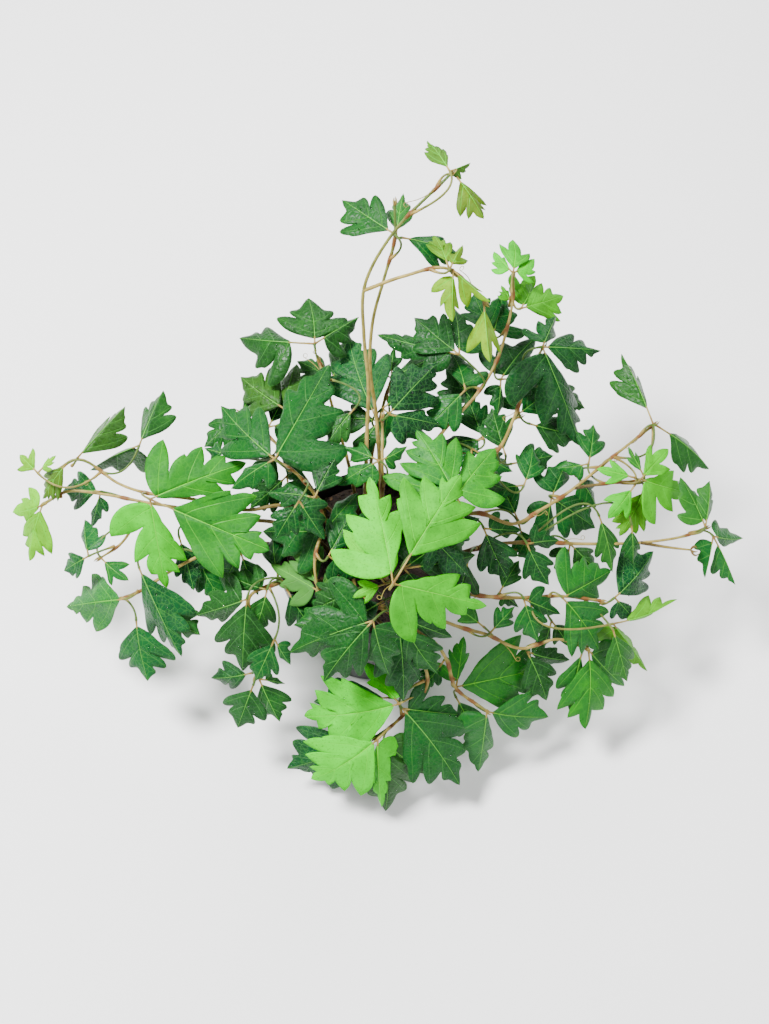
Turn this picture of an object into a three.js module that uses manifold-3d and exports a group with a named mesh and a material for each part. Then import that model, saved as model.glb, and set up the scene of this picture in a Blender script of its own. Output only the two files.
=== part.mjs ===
// A grape ivy in its nursery pot, in millimetres, +Z up.
// The origin is the middle of the pot's base, on the surface that it stands on.
// Pieces: the pot, the peat with its bark chips, and the leafy stems that stand in holes in the peat.

import * as THREE from 'three';
import { mergeVertices } from 'three/addons/utils/BufferGeometryUtils.js';
import Module from 'manifold-3d';

const wasm = await Module();
wasm.setup();

// ---- Driving dimensions: pot and peat ----
const POT_HEIGHT = 110;
const POT_TOP_RADIUS = 60;
const POT_BASE_RADIUS = 43;
const POT_WALL = 1.4;
const POT_FLOOR = 2.2;
const RIM_BAND_HEIGHT = 15;
const RIM_BAND_STEP = 1.8;
const POT_SIDES = 28;
const DRAIN_HOLES = 6;
const DRAIN_RING_RADIUS = 27;
const DRAIN_RADIUS = 4.5;
const SEAT_GAP = 0.3;
const PEAT_DEPTH_BELOW_RIM = 11;
const PEAT_SIDES = 20;
const PEAT_RINGS = 3;
const PEAT_BUMP = 1.3;
const CHIP_COUNT = 7;
const PEAT_TOP = POT_HEIGHT - PEAT_DEPTH_BELOW_RIM;

// ---- Driving dimensions: stems and leaves ----
const STEM_RADIUS = 1.5;
const STEM_SIDES = 4;
const STEM_STEP = 22;
const ROOT_DEPTH = 20;
const MOST_LEAVES = 12;
const HOLE_CLEARANCE = 1;
const BLADE_THICKNESS = 0.8;
const PETIOLE_THICKNESS = 1.5;
const PETIOLE_WIDTH = 1.7;
const PETIOLE_FOOT = 1.1;
const PETIOLE_STEPS = 2;
const PETIOLE_SIDES = 3;
const END_LEAFLET_STALK = 0.2;
const SIDE_LEAFLET_STALK = 0.06;
const SHORTEST_STALK = 4;
const LARGE_BLADE = 50;
const SMALL_BLADE = 26;
const END_LEAFLET_LEAN = 0.14;
const SIDE_LEAFLET_LEAN = 0.34;
const SIDE_LEAFLET_TWIST = 0.16;

// ---- The drawing board ----
// The plant is laid out on a board that leans back through the middle of the pot's rim.
// A place on it is [across, up, out]: right, up along the board, and out from it towards an eye
// that looks down at it. Moving a leaf in or out keeps its outline as that eye sees it.
const BOARD_ELEVATION = THREE.MathUtils.degToRad(60);
const EYE_DISTANCE = 1000;
const EYE_ACROSS = 9.4;
const EYE_UP = 24.7;
const ACROSS = new THREE.Vector3(1, 0, 0);
const UP = new THREE.Vector3(0, Math.sin(BOARD_ELEVATION), Math.cos(BOARD_ELEVATION));
const OUT = new THREE.Vector3(0, -Math.cos(BOARD_ELEVATION), Math.sin(BOARD_ELEVATION));
const BOARD_CENTRE = new THREE.Vector3(0, 0, POT_HEIGHT);
const EYE = BOARD_CENTRE.clone()
  .addScaledVector(ACROSS, EYE_ACROSS)
  .addScaledVector(UP, EYE_UP)
  .addScaledVector(OUT, EYE_DISTANCE);

// The bush swells out from the board over the pot, as a low mound.
const MOUND_HEIGHT = 62;
const MOUND_CENTRE = [5, 20];
const MOUND_REACH = [130, 100];
const OUTWARD_LEAN = 420;
const LEAN_WOBBLE = 0.1;

// ---- Settling: leaves that lie over each other are moved in or out until they are clear ----
const CELL = 4;
const SAMPLE_STEP = 3.2;
const CLEARANCE = 1.8;
const MOST_SHIFT = 45;
const LOWEST_LEAF = 6;
const POT_MARGIN = 5;

// Leaflet outlines from base to tip, as parts of the leaflet's length: [along, to the side].
// An end leaflet is alike on both sides.
const END_SIDE = {
  large: [[0.28, 0.3], [0.47, 0.44], [0.66, 0.43], [0.56, 0.19], [0.8, 0.29], [0.8, 0.14]],
  middle: [[0.42, 0.45], [0.66, 0.43], [0.57, 0.2], [0.82, 0.26]],
  small: [[0.4, 0.42], [0.64, 0.42], [0.62, 0.2]],
};
// A side leaflet has a deep round lobe on its outer side and a narrow, toothed inner side.
const OUTER_SIDE = {
  large: [[0.04, 0.4], [0.18, 0.5], [0.3, 0.49], [0.26, 0.22], [0.6, 0.29], [0.6, 0.18]],
  middle: [[0.05, 0.42], [0.28, 0.5], [0.27, 0.23], [0.62, 0.28]],
  small: [[0.08, 0.42], [0.32, 0.46], [0.36, 0.22]],
};
const INNER_SIDE = {
  large: [[0.2, 0.09], [0.64, 0.24], [0.65, 0.14], [0.81, 0.16]],
  middle: [[0.64, 0.24], [0.68, 0.12]],
  small: [[0.6, 0.22]],
};
const MIDRIB = { large: [0.33, 0.68], middle: [0.5], small: [0.5] };

// ---- The leafy stems ----
// hole: where the stem stands in the peat, [x, y].
// route: the stem's way, [across, up, rise over the mound].
// branches: side shoots, each a route that starts on the stem.
// leaves: [joint across, up, rise], then the end leaflet and up to two side ones, each as
// [tip across, up, bare stalk as a part of its reach, breadth against the usual].
const LEAFY_STEMS = [
  {
    name: 'leafy_stem_left_long',
    hole: [-31, 13],
    route: [[-38, 24, -26], [-58, 29, -14], [-80, 26, -4], [-115, 33, -2], [-145, 37, 0], [-163, 43, 0],
      [-189, 59, 0], [-204, 52, 0]],
    branches: [],
    leaves: [
      [[-143, 33, 16], [-67, 0], [-83, 60], [-133, -27]],
      [[-150, 68, 4], [-136, 104, 0.05, 1.05], [-185, 55, 0.1]],
      [[-190, 60, 6], [-161, 93, 0.05, 1]],
      [[-197, 56, 4], [-216, 35, 0.06, 0.9]],
      [[-216, 50, 4], [-229, 64], [-205, 62]],
    ],
  },
  {
    name: 'leafy_stem_left_middle',
    hole: [-26, -2],
    route: [[-36, 8, -38], [-62, 18, -24], [-92, 20, -16], [-122, 27, -12], [-146, 31, -8], [-172, 36, -6],
      [-197, 38, -4], [-210, 31, -2]],
    branches: [[[-146, 31, -8], [-154, 16, -8], [-162, 4, -8], [-175, -5, -6]]],
    leaves: [
      [[-175, 38, 0], [-201, 41], [-181, 13, 0.06, 0.7]],
      [[-213, 29, 0], [-226, -6], [-234, 21]],
      [[-183, -4, 2], [-201, -14], [-188, 21, 0.06, 1.1]],
      [[-175, -5, 0], [-159, -21, 0.04, 1.1]],
    ],
  },
  {
    name: 'leafy_stem_left_low',
    hole: [-37, -7],
    route: [
      [-52, 2, -36], [-80, 4, -22], [-106, -2, -12],
      [-130, -14, -8], [-148, -26, -6], [-160, -31, -4],
    ],
    branches: [],
    leaves: [
      [[-160, -32, 4], [-203, -36, 0.03]],
      [[-152, -46, 2], [-148, -85, 0.03, 1.35]],
      [[-150, -12, 2], [-125, -70, 0.03, 0.85]],
      [[-112, -4, -8], [-100, -34, 0.06, 1.1]],
      [[-124, 8, -10], [-113, -25, 0.06, 0.9]],
      [[-84, -2, -14], [-74, -30], [-100, -26, 0.06, 1.2]],
      [[-136, -40, -12], [-112, -56, 0.06, 1.2]],
    ],
  },
  {
    name: 'leafy_stem_upper_left',
    hole: [-21, 24],
    route: [[-34, 34, -24], [-48, 50, -8], [-62, 59, -2]],
    branches: [],
    leaves: [
      [[-62, 59, 8], [-102, 92, 0.06], [-92, 43, 0.04], [-26, 121, 0.04]],
      [[-54, 48, -4], [-78, 26], [-50, 12]],
      [[-56, 92, -14], [-86, 111, 0.06, 1.2], [-50, 124, 0.06, 1.1]],
      [[-92, 62, -12], [-108, 66, 0.06, 1.2]],
      [[-46, 32, -16], [-62, 8, 0.06, 1.1], [-30, 6, 0.06, 1.1]],
    ],
  },
  {
    name: 'leafy_stem_top_left',
    hole: [-9, 33],
    route: [[-14, 56, -24], [-22, 84, -16], [-28, 106, -8], [-33, 122, -4]],
    branches: [],
    leaves: [
      [[-36, 134, 6], [-36, 164, 0.12, 1.8], [-88, 137, 0.3, 1.55], [-8, 152, 0.2, 1.1]],
      [[-25, 110, -32], [-46, 126], [-14, 140, 0.06, 1.1]],
      [[-10, 92, 2], [-30, 70]],
    ],
  },
  {
    name: 'leafy_stem_tall',
    hole: [-5, 18],
    route: [[-3, 42, -20], [-2, 76, 0], [-1, 108, 36], [-4, 140, 66], [-3.4, 172, 90], [15, 206, 108],
      [52, 244, 124]],
    branches: [[[-3.4, 172, 90], [22, 178, 94], [50, 183, 96], [74, 162, 84]]],
    leaves: [
      [[52, 246, 125], [38, 269, 0.1, 0.5], [66, 252, 0.06, 0.8]],
      [[56, 243, 122], [75, 218, 0.03]],
      [[51, 184, 97], [43, 207, 0.06, 0.8]],
      [[52, 183, 100], [60, 200, 0.06, 1]],
      [[54, 182, 95], [77, 161, 0.04, 1.1], [53, 150, 0.06, 1.1]],
      [[74, 160, 82], [77, 123, 0.04, 1.25]],
    ],
  },
  {
    name: 'leafy_stem_tall_second',
    hole: [8, 27],
    route: [
      [6, 60, -22], [4, 88, -2], [0, 118, 34], [2, 150, 66],
      [9, 176, 82], [16, 202, 94], [16, 224, 100],
    ],
    branches: [],
    leaves: [
      [[17, 205, 94], [21, 234, 0.06, 0.6]],
      [[15, 206, 93], [-20, 228, 0.05, 1.1]],
      [[21, 203, 92], [60, 196, 0.04, 0.95]],
    ],
  },
  {
    name: 'leafy_stem_upper_right',
    hole: [19, 27],
    route: [[30, 54, -30], [50, 80, -18], [70, 102, -8], [82, 122, -4], [89, 144, -2], [93, 164, 0],
      [93, 177, 2]],
    branches: [],
    leaves: [
      [[93, 180, 4], [97, 204, 0.1, 0.8], [79, 194], [109, 188]],
      [[92, 160, 0], [106, 181], [86, 172]],
      [[98, 157, 4], [129, 165, 0.03], [109, 174]],
      [[85, 111, 4], [113, 112, 0.06], [104, 141, 0.06], [84, 86]],
      [[58, 127, 4], [28, 150, 0.06, 1.2], [2, 138, 0.1, 0.6], [58, 162]],
      [[80, 140, -4], [66, 166, 0.06, 1.2], [88, 168, 0.06, 1.1]],
      [[62, 104, -2], [38, 80, 0.06, 1.2], [56, 132, 0.06, 1.1]],
    ],
  },
  {
    name: 'leafy_stem_right_upper',
    hole: [30, 17],
    route: [[48, 38, -28], [70, 54, -10], [84, 66, -2], [92, 82, -2], [98, 98, -2], [105, 118, -2],
      [112, 131, 0]],
    branches: [],
    leaves: [
      [[112, 132, 4], [150, 131, 0.06, 0.85], [122, 155, 0.06], [139, 68, 0.04, 1.05]],
      [[56, 35, 20], [33, 80, 0.06], [7, 48], [82, 70, 0.06, 1.1]],
      [[104, 82, -8], [138, 72, 0.06]],
      [[88, 62, -6], [78, 92, 0.06, 1.1]],
      [[100, 42, -8], [109, 66, 0.06, 1.2], [78, 40, 0.06, 1.2]],
      [[116, 106, -14], [142, 96]],
      [[92, 56, -16], [120, 62, 0.06, 1.1]],
      [[64, 50, -18], [88, 38, 0.06, 1.2]],
    ],
  },
  {
    name: 'leafy_stem_upper_middle',
    hole: [9, 9],
    route: [[8, 34, -22], [8, 62, -8], [8, 86, -2]],
    branches: [],
    leaves: [
      [[3, 88, 4], [-20, 137, 0.04]],
      [[12, 88, 8], [44, 124, 0.04], [48, 82]],
      [[6, 58, 0], [-16, 68], [-22, 44], [26, 66]],
    ],
  },
  {
    name: 'leafy_stem_right_long',
    hole: [37, 4],
    route: [[50, 18, -26], [70, 24, -12], [93, 17, -4], [111, 26, 0], [131, 39, 0], [157, 60, 0],
      [184, 81, 0]],
    branches: [[[131, 39, 0], [152, 43, 2], [173, 45, 4]]],
    leaves: [
      [[184, 82, 4], [166, 128, 0.22, 0.95]],
      [[186, 81, 2], [224, 57, 0.22, 0.75]],
      [[176, 46, 10], [194, 67, 0.1, 0.85], [211, 34]],
      [[172, 47, 12], [149, 53, 0.06, 0.9]],
      [[172, 42, 6], [157, 20, 0.04]],
      [[178, 40, -2], [166, 8, 0.06, 1.1]],
      [[178, 48, 4], [168, 67, 0.06, 0.6]],
      [[142, 56, -8], [147, 82, 0.06, 1.1], [122, 52, 0.06, 1.2]],
      [[118, 34, -8], [148, 14, 0.06, 1.25], [128, 60, 0.04, 1.2], [112, 2]],
      [[96, 20, -12], [84, 46, 0.06, 1.15]],
      [[97, 16, -10], [104, -8, 0.06, 1.2]],
      [[134, 48, -12], [150, 30, 0.06, 1.2]],
    ],
  },
  {
    name: 'leafy_stem_right_far',
    hole: [39, -8],
    route: [
      [58, -2, -34], [84, 4, -20], [110, 5, -10], [140, 4, -6],
      [178, 5, -2], [204, 9, 0], [217, 14, 0],
    ],
    branches: [[[178, 5, -2], [192, 2, 0], [209, 0, 2]]],
    leaves: [
      [[218, 15, 4], [223, 45], [204, 48]],
      [[223, 9, 2], [239, -21], [243, 4], [219, -18]],
      [[149, 22, 0], [161, -12, 0.04, 0.7]],
      [[170, 16, 2], [172, -9, 0.04, 0.9]],
      [[130, 4, -2], [148, -14], [126, -22]],
      [[102, 4, -12], [114, -24], [124, 8]],
      [[74, 14, -10], [87, -20, 0.06], [100, 12]],
      [[64, -6, -18], [56, -38, 0.06, 1.1]],
      [[94, 0, -22], [70, -6, 0.06, 1.1]],
    ],
  },
  {
    name: 'leafy_stem_right_front',
    hole: [29, -20],
    route: [[46, -25, -20], [74, -30, -10], [100, -31, -8], [124, -30, -4], [150, -33, 0]],
    branches: [],
    leaves: [
      [[159, -31, 2], [189, -4, 0.06, 1.1], [173, -46]],
      [[158, -48, 4], [202, -38, 0.2, 0.65], [182, -78, 0.06]],
      [[158, -52, -2], [168, -87, 0.1, 0.75]],
      [[125, -31, 4], [154, -62, 0.03, 1.05], [159, -13, 0.06, 1.3]],
      [[100, -32, 2], [108, -60], [124, -42]],
      [[84, -28, -4], [96, -6], [98, -36]],
      [[118, -46, -10], [130, -62], [112, -68]],
    ],
  },
  {
    name: 'leafy_stem_front_right',
    hole: [19, -33],
    route: [[38, -42, -4], [58, -50, -2], [76, -55, -4], [98, -64, -6], [122, -58, -2], [140, -64, 0]],
    branches: [],
    leaves: [
      [[142, -65, -2], [147, -116, 0.12, 0.95], [165, -92, 0.04, 0.8]],
      [[138, -66, -8], [127, -106, 0.06, 0.65]],
      [[102, -66, -4], [118, -98, 0.06, 0.9], [130, -76, 0.06, 0.8]],
      [[78, -54, 0], [94, -36]],
      [[74, -50, -2], [56, -36, 0.06, 1.1]],
    ],
  },
  {
    name: 'leafy_stem_front_hanging',
    hole: [6, -38],
    route: [[22, -47, 2], [42, -60, 2], [50, -72, 0], [56, -90, -2], [75, -104, 0]],
    branches: [],
    leaves: [
      [[56, -89, 6], [120, -76, 0.02, 0.85], [61, -56, 0.03]],
      [[76, -105, 4], [114, -113, 0.03], [71, -148, 0.04, 0.75]],
      [[56, -96, -4], [76, -131, 0.05, 0.8]],
      [[48, -72, -8], [34, -92]],
    ],
  },
  {
    name: 'leafy_stem_front_low',
    hole: [-6, -39],
    route: [[10, -50, 4], [30, -66, 4], [37, -88, -2], [22, -107, 0], [5, -122, 2]],
    branches: [],
    leaves: [
      [[19, -100, 12], [-40, -116, 0.02, 1.1], [-4, -73, 0.04]],
      [[5, -123, 12], [-35, -157, 0.02, 1.15], [5, -170, 0.03, 0.7]],
      [[21, -103, 8], [64, -149, 0.02, 0.95], [60, -108, 0.03]],
      [[2, -122, -4], [-52, -148, 0.1, 1.05]],
      [[9, -124, -4], [16, -172, 0.14, 0.95], [35, -148, 0.06, 0.7]],
      [[12, -96, -8], [-36, -98, 0.06, 0.8]],
    ],
  },
  {
    name: 'leafy_stem_centre',
    hole: [4, -12],
    route: [[8, -16, -22], [12, -20, 2], [15, -22, 24]],
    branches: [],
    leaves: [
      [[15, -22, 34], [58, 49, 0.26, 1.1], [4, 47, 0.1, 1.05], [77, -36, 0.04]],
      [[10, -22, 26], [-12, -29], [-18, 12]],
      [[22, -12, 6], [70, -6], [66, 20], [42, -34]],
      [[40, 8, -8], [70, 24], [66, -18]],
      [[8, -6, -10], [-16, 24, 0.06, 1.1], [30, 30, 0.06, 1.1]],
    ],
  },
  {
    name: 'leafy_stem_front_middle',
    hole: [-11, -18],
    route: [[-8, -28, -24], [4, -36, -6], [14, -42, 2]],
    branches: [],
    leaves: [
      [[9, -33, 10], [-50, -66, 0.03]],
      [[-4, -42, -14], [-48, -54, 0.06, 0.9]],
      [[18, -45, 8], [26, -100, 0.02, 0.85]],
      [[2, -46, -4], [-34, -83, 0.05], [10, -84], [-54, -62, 0.06, 1.2]],
      [[20, -44, -2], [40, -84, 0.2, 0.9], [54, -58, 0.06, 0.8]],
      [[-10, -26, -18], [-38, -40, 0.06, 1.2]],
    ],
  },
  {
    name: 'leafy_stem_front_left',
    hole: [-29, -22],
    route: [
      [-42, -20, -30], [-60, -22, -14], [-78, -30, -4],
      [-76, -48, -4], [-70, -66, -2], [-74, -82, 0],
    ],
    branches: [],
    leaves: [
      [[-80, -32, 6], [-85, -80, 0.03, 1.05], [-114, -44, 0.04, 1.1]],
      [[-62, -58, 2], [-75, -86, 0.04], [-53, -75, 0.04]],
      [[-72, -84, 4], [-60, -112, 0.05, 1.15], [-55, -86, 0.06, 0.8]],
      [[-76, -88, 6], [-87, -117, 0.05, 1.2]],
      [[-77, -80, 0], [-104, -86, 0.04]],
      [[-67, -26, -4], [-74, -56], [-94, -18, 0.06, 1.1]],
      [[-54, -26, -16], [-38, -54, 0.06, 1.2]],
      [[-60, -16, -14], [-66, 10, 0.06, 1.1]],
    ],
  },
  {
    name: 'leafy_stem_middle_left',
    hole: [-18, 6],
    route: [[-24, 10, -24], [-32, 8, -8], [-36, -8, -2], [-34, -26, 0]],
    branches: [[[-24, 10, -24], [-30, 22, -10], [-35, 33, 2]]],
    leaves: [
      [[-33, -27, 4], [-47, 6], [-64, -8], [-24, -12]],
      [[-30, 12, 2], [-50, 34, 0.06, 1.1], [-71, 12, 0.06, 1.3], [-8, 38, 0.06, 1.1]],
      [[-36, 34, 6], [-24, 60, 0.06, 1.1], [-66, 40, 0.06, 1.1]],
      [[-27, -4, -12], [-12, 24, 0.06, 1.1], [-2, -20, 0.06, 1.1]],
    ],
  },
  {
    name: 'leafy_stem_back_left',
    hole: [-30, 30],
    route: [[-46, 52, -50], [-66, 74, -44], [-84, 88, -36]],
    branches: [],
    leaves: [
      [[-84, 88, -26], [-108, 68], [-74, 108]],
      [[-60, 66, -34], [-76, 40], [-42, 40]],
      [[-66, 80, -30], [-50, 110], [-34, 86]],
    ],
  },
  {
    name: 'leafy_stem_back_middle',
    hole: [-2, 42],
    route: [[2, 66, -48], [8, 92, -38], [14, 112, -30]],
    branches: [],
    leaves: [
      [[14, 112, -22], [14, 132], [-14, 122], [46, 128]],
      [[6, 84, -34], [-24, 88], [-14, 58]],
      [[8, 92, -30], [34, 110], [38, 70]],
    ],
  },
  {
    name: 'leafy_stem_back_right',
    hole: [30, 31],
    route: [[52, 54, -46], [74, 74, -38], [96, 86, -30]],
    branches: [],
    leaves: [
      [[96, 88, -22], [124, 108], [98, 116]],
      [[74, 72, -32], [62, 100], [44, 70]],
      [[66, 66, -34], [92, 50], [66, 36]],
      [[70, 92, -30], [50, 120, 0.06, 1.2]],
    ],
  },
];

// ---- Small helpers ----

// A repeatable draw from -1 to 1 for leaf number i and purpose k.
function draw(i, k) {
  const wave = Math.sin(i * 12.9898 + k * 78.233) * 43758.5453;
  return 2 * (wave - Math.floor(wave)) - 1;
}

function mound(across, up) {
  const a = (across - MOUND_CENTRE[0]) / MOUND_REACH[0];
  const b = (up - MOUND_CENTRE[1]) / MOUND_REACH[1];
  return MOUND_HEIGHT * Math.exp(-a * a - b * b);
}

function onBoard(across, up) {
  return BOARD_CENTRE.clone().addScaledVector(ACROSS, across).addScaledVector(UP, up);
}

// The point that the eye sees at this place of the board, brought out towards it.
function spot(across, up, out) {
  return EYE.clone().lerp(onBoard(across, up), 1 - out / EYE_DISTANCE);
}

function risen([across, up, rise]) {
  return spot(across, up, mound(across, up) + rise);
}

// Where the eye sees a point against the board, and how far out from the board it is.
function seen(point) {
  const sight = point.clone().sub(EYE);
  const reach = -sight.dot(OUT);
  const hit = EYE.clone().addScaledVector(sight, EYE_DISTANCE / reach).sub(BOARD_CENTRE);
  return { across: hit.dot(ACROSS), up: hit.dot(UP), out: EYE_DISTANCE - reach };
}

// ---- Leaves: joint, normal and leaflets in space ----

function sizeName(length) {
  if (length > LARGE_BLADE) {
    return 'large';
  }
  return length < SMALL_BLADE ? 'small' : 'middle';
}

// kind: 0 end leaflet, 1 left one, 2 right one. Points run round the blade from its base.
function outlineOf(kind, size, breadth) {
  const sides = [
    [END_SIDE[size], END_SIDE[size]],
    [OUTER_SIDE[size], INNER_SIDE[size]],
    [INNER_SIDE[size], OUTER_SIDE[size]],
  ][kind];
  return {
    left: sides[0].map(([along, side]) => [along, side * breadth]),
    right: sides[1].map(([along, side]) => [along, -side * breadth]),
    ribs: MIDRIB[size],
  };
}

// An end leaflet stands off its pair of side leaflets on a longer stalk.
function usualStalk(place, kind) {
  return kind === 0 && place.length > 3 ? END_LEAFLET_STALK : SIDE_LEAFLET_STALK;
}

// Which side of the end leaflet a side leaflet lies on: 1 left, 2 right.
function sideKind([joint, end], tip) {
  const turn = (end[0] - joint[0]) * (tip[1] - joint[1]) - (end[1] - joint[1]) * (tip[0] - joint[0]);
  return turn > 0 ? 1 : 2;
}

function makeLeaflet(joint, leafNormal, place, tip, number) {
  const kind = tip === place[1] ? 0 : sideKind(place, tip);
  const [, , stalk = usualStalk(place, kind), breadth = 1] = tip;
  const target = onBoard(tip[0], tip[1]);
  const start = seen(joint);
  const heading = new THREE.Vector3()
    .addScaledVector(ACROSS, tip[0] - start.across)
    .addScaledVector(UP, tip[1] - start.up)
    .normalize();
  const lean = kind === 0 ? END_LEAFLET_LEAN : SIDE_LEAFLET_LEAN;
  const normal = leafNormal.clone().addScaledVector(heading, lean).normalize();
  const sight = target.sub(EYE);
  const reach = joint.clone().sub(EYE).dot(normal) / sight.dot(normal);
  const tipPoint = EYE.clone().addScaledVector(sight, reach);
  const span = tipPoint.clone().sub(joint);
  const bare = Math.max(stalk * span.length(), SHORTEST_STALK);
  const length = span.length() - bare;
  const forward = span.normalize();
  const base = joint.clone().addScaledVector(forward, bare);
  const side = normal.clone().cross(forward);
  return {
    base, forward, side, normal, length, kind, breadth,
    outline: outlineOf(kind, sizeName(length), breadth),
    droop: 0.1 + 0.08 * draw(number, 11 + kind),
    fold: kind === 0 ? 0.06 + 0.06 * draw(number, 21) : 0.02 + 0.1 * draw(number, 21 + kind),
    wave: 0.03 * draw(number, 31 + kind),
    twist: [0, SIDE_LEAFLET_TWIST, -SIDE_LEAFLET_TWIST][kind],
  };
}

// A point of a leaflet: it arches down to the tip, cups along its midrib, and a side leaflet turns
// so that its inner edge passes under the end leaflet.
function bladePoint(leaflet, along, side, lift = 0) {
  const arch = -leaflet.droop * along * along;
  const cup = leaflet.fold * Math.abs(side) + leaflet.twist * side;
  const ripple = leaflet.wave * Math.sin(7 * along) * Math.sign(side) * Math.min(1, Math.abs(side) * 4);
  return leaflet.base.clone()
    .addScaledVector(leaflet.forward, along * leaflet.length)
    .addScaledVector(leaflet.side, side * leaflet.length)
    .addScaledVector(leaflet.normal, (arch + cup + ripple) * leaflet.length + lift);
}

function poseLeaf(leaf, shift) {
  const [across, up, rise] = leaf.place[0];
  const joint = spot(across, up, mound(across, up) + rise + shift);
  const normal = OUT.clone()
    .addScaledVector(ACROSS, across / OUTWARD_LEAN + LEAN_WOBBLE * draw(leaf.number, 1))
    .addScaledVector(UP, up / OUTWARD_LEAN + LEAN_WOBBLE * draw(leaf.number, 2))
    .normalize();
  const leaflets = leaf.place.slice(1).map(
    (tip) => makeLeaflet(joint, normal, leaf.place, tip, leaf.number),
  );
  return { joint, normal, leaflets };
}

// ---- Settling ----

function insideOutline(points, along, side) {
  let inside = false;
  for (let i = 0, j = points.length - 1; i < points.length; j = i, i += 1) {
    const [a, b] = points[i];
    const [c, d] = points[j];
    if ((b > side) !== (d > side) && along < ((c - a) * (side - b)) / (d - b) + a) {
      inside = !inside;
    }
  }
  return inside;
}

function loopOf(outline) {
  return [[0, 0], ...outline.left, [1, 0], ...outline.right.slice().reverse()];
}

const cellName = (place) => `${Math.round(place.across / CELL)},${Math.round(place.up / CELL)}`;

function stretchCell(cells, point) {
  const place = seen(point);
  const name = cellName(place);
  const found = cells.get(name);
  if (found) {
    found[0] = Math.min(found[0], place.out);
    found[1] = Math.max(found[1], place.out);
  } else {
    cells.set(name, [place.out, place.out]);
  }
}

// The cells of the board that a leaf covers, with its lowest and highest point over each.
function leafCells(pose) {
  const cells = new Map();
  for (const leaflet of pose.leaflets) {
    const loop = loopOf(leaflet.outline);
    const step = SAMPLE_STEP / leaflet.length;
    for (let along = 0; along <= 1; along += step) {
      for (let side = -0.52 * leaflet.breadth; side <= 0.52 * leaflet.breadth; side += step) {
        if (insideOutline(loop, along, side)) {
          stretchCell(cells, bladePoint(leaflet, along, side));
        }
      }
    }
    for (const [along, side] of loop) {
      stretchCell(cells, bladePoint(leaflet, along, side));
    }
    for (const part of [0, 0.25, 0.5, 0.75]) {
      stretchCell(cells, pose.joint.clone().lerp(leaflet.base, part));
    }
  }
  return cells;
}

function stemCurve(points) {
  return new THREE.CatmullRomCurve3(points, false, 'centripetal');
}

function stemSteps(curve) {
  return Math.max(2, Math.round(curve.getLength() / STEM_STEP));
}

function mainCurve(hole, route) {
  const root = [-ROOT_DEPTH, -3, 8].map((z) => new THREE.Vector3(hole[0], hole[1], PEAT_TOP + z));
  return stemCurve([...root, ...route.map(risen)]);
}

// A side shoot starts at the nearest ring of its stem's tube.
function branchCurve(branch, main) {
  const points = branch.map(risen);
  const rings = main.getSpacedPoints(stemSteps(main));
  rings.sort((a, b) => a.distanceTo(points[0]) - b.distanceTo(points[0]));
  return stemCurve([rings[0], ...points.slice(1)]);
}

// Whether a leaf keeps off the surface below the plant, the pot and the peat.
function standsClear(pose) {
  return pose.leaflets.every((leaflet) => loopOf(leaflet.outline).every(([along, side]) => {
    const point = bladePoint(leaflet, along, side);
    const overPot = Math.hypot(point.x, point.y) < POT_TOP_RADIUS + POT_MARGIN;
    return point.z > (overPot ? POT_HEIGHT + POT_MARGIN : LOWEST_LEAF);
  }));
}

function fill(taken, cells) {
  for (const [name, span] of cells) {
    taken.set(name, [...(taken.get(name) ?? []), span]);
  }
}

// The smallest move in or out that brings a leaf clear of everything in the cells it covers.
function smallestShift(leaf, taken) {
  const barred = [];
  for (const [name, [low, high]] of leafCells(poseLeaf(leaf, 0))) {
    for (const [bottom, top] of taken.get(name) ?? []) {
      barred.push([bottom - CLEARANCE - high, top + CLEARANCE - low]);
    }
  }
  const offers = [0, ...barred.flat()].filter((shift) => Math.abs(shift) <= MOST_SHIFT);
  offers.sort((a, b) => Math.abs(a) - Math.abs(b));
  const free = (shift) => barred.every(([from, to]) => shift <= from + 1e-6 || shift >= to - 1e-6);
  return offers.find((shift) => free(shift) && standsClear(poseLeaf(leaf, shift))) ?? 0;
}

function settle(stems) {
  const taken = new Map();
  for (const curve of stems.flatMap((stem) => stem.curves)) {
    const cells = new Map();
    const pieces = Math.ceil(curve.getLength() / SAMPLE_STEP);
    curve.getSpacedPoints(pieces).forEach((point) => stretchCell(cells, point));
    cells.forEach((span) => {
      span[0] -= STEM_RADIUS;
      span[1] += STEM_RADIUS;
    });
    fill(taken, cells);
  }
  const leaves = stems.flatMap((stem) => stem.leaves);
  const wished = ({ place }) => mound(place[0][0], place[0][1]) + place[0][2];
  leaves.sort((a, b) => wished(b) - wished(a) || a.number - b.number);
  for (const leaf of leaves) {
    leaf.shift = smallestShift(leaf, taken);
    leaf.pose = poseLeaf(leaf, leaf.shift);
    leaf.cells = leafCells(leaf.pose);
    fill(taken, leaf.cells);
  }
}

// ---- Petioles ----

// A petiole runs from its stem to the joint in one bend, and comes up from behind the leaf.
function petioleCurve(start, leaf, sag, reachBehind) {
  const { joint, normal, leaflets } = leaf.pose;
  const bend = joint.clone()
    .addScaledVector(leaflets[0].forward, -reachBehind * start.distanceTo(joint))
    .addScaledVector(normal, -sag);
  return new THREE.QuadraticBezierCurve3(start, bend, joint);
}

// How sharply a petiole turns half way, and into the leaf's own heading, 0 for a gentle one.
function kink(petiole, leaf) {
  const middle = petiole.getPoint(0.5);
  const departure = middle.clone().sub(petiole.getPoint(0)).normalize();
  const arrival = leaf.pose.joint.clone().sub(middle).normalize();
  const forward = leaf.pose.leaflets[0].forward;
  const late = Math.max(0, STRAIGHT_ARRIVAL - arrival.dot(forward));
  const sharp = Math.max(0, STRAIGHT_BEND - arrival.dot(departure));
  return late + sharp;
}

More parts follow.
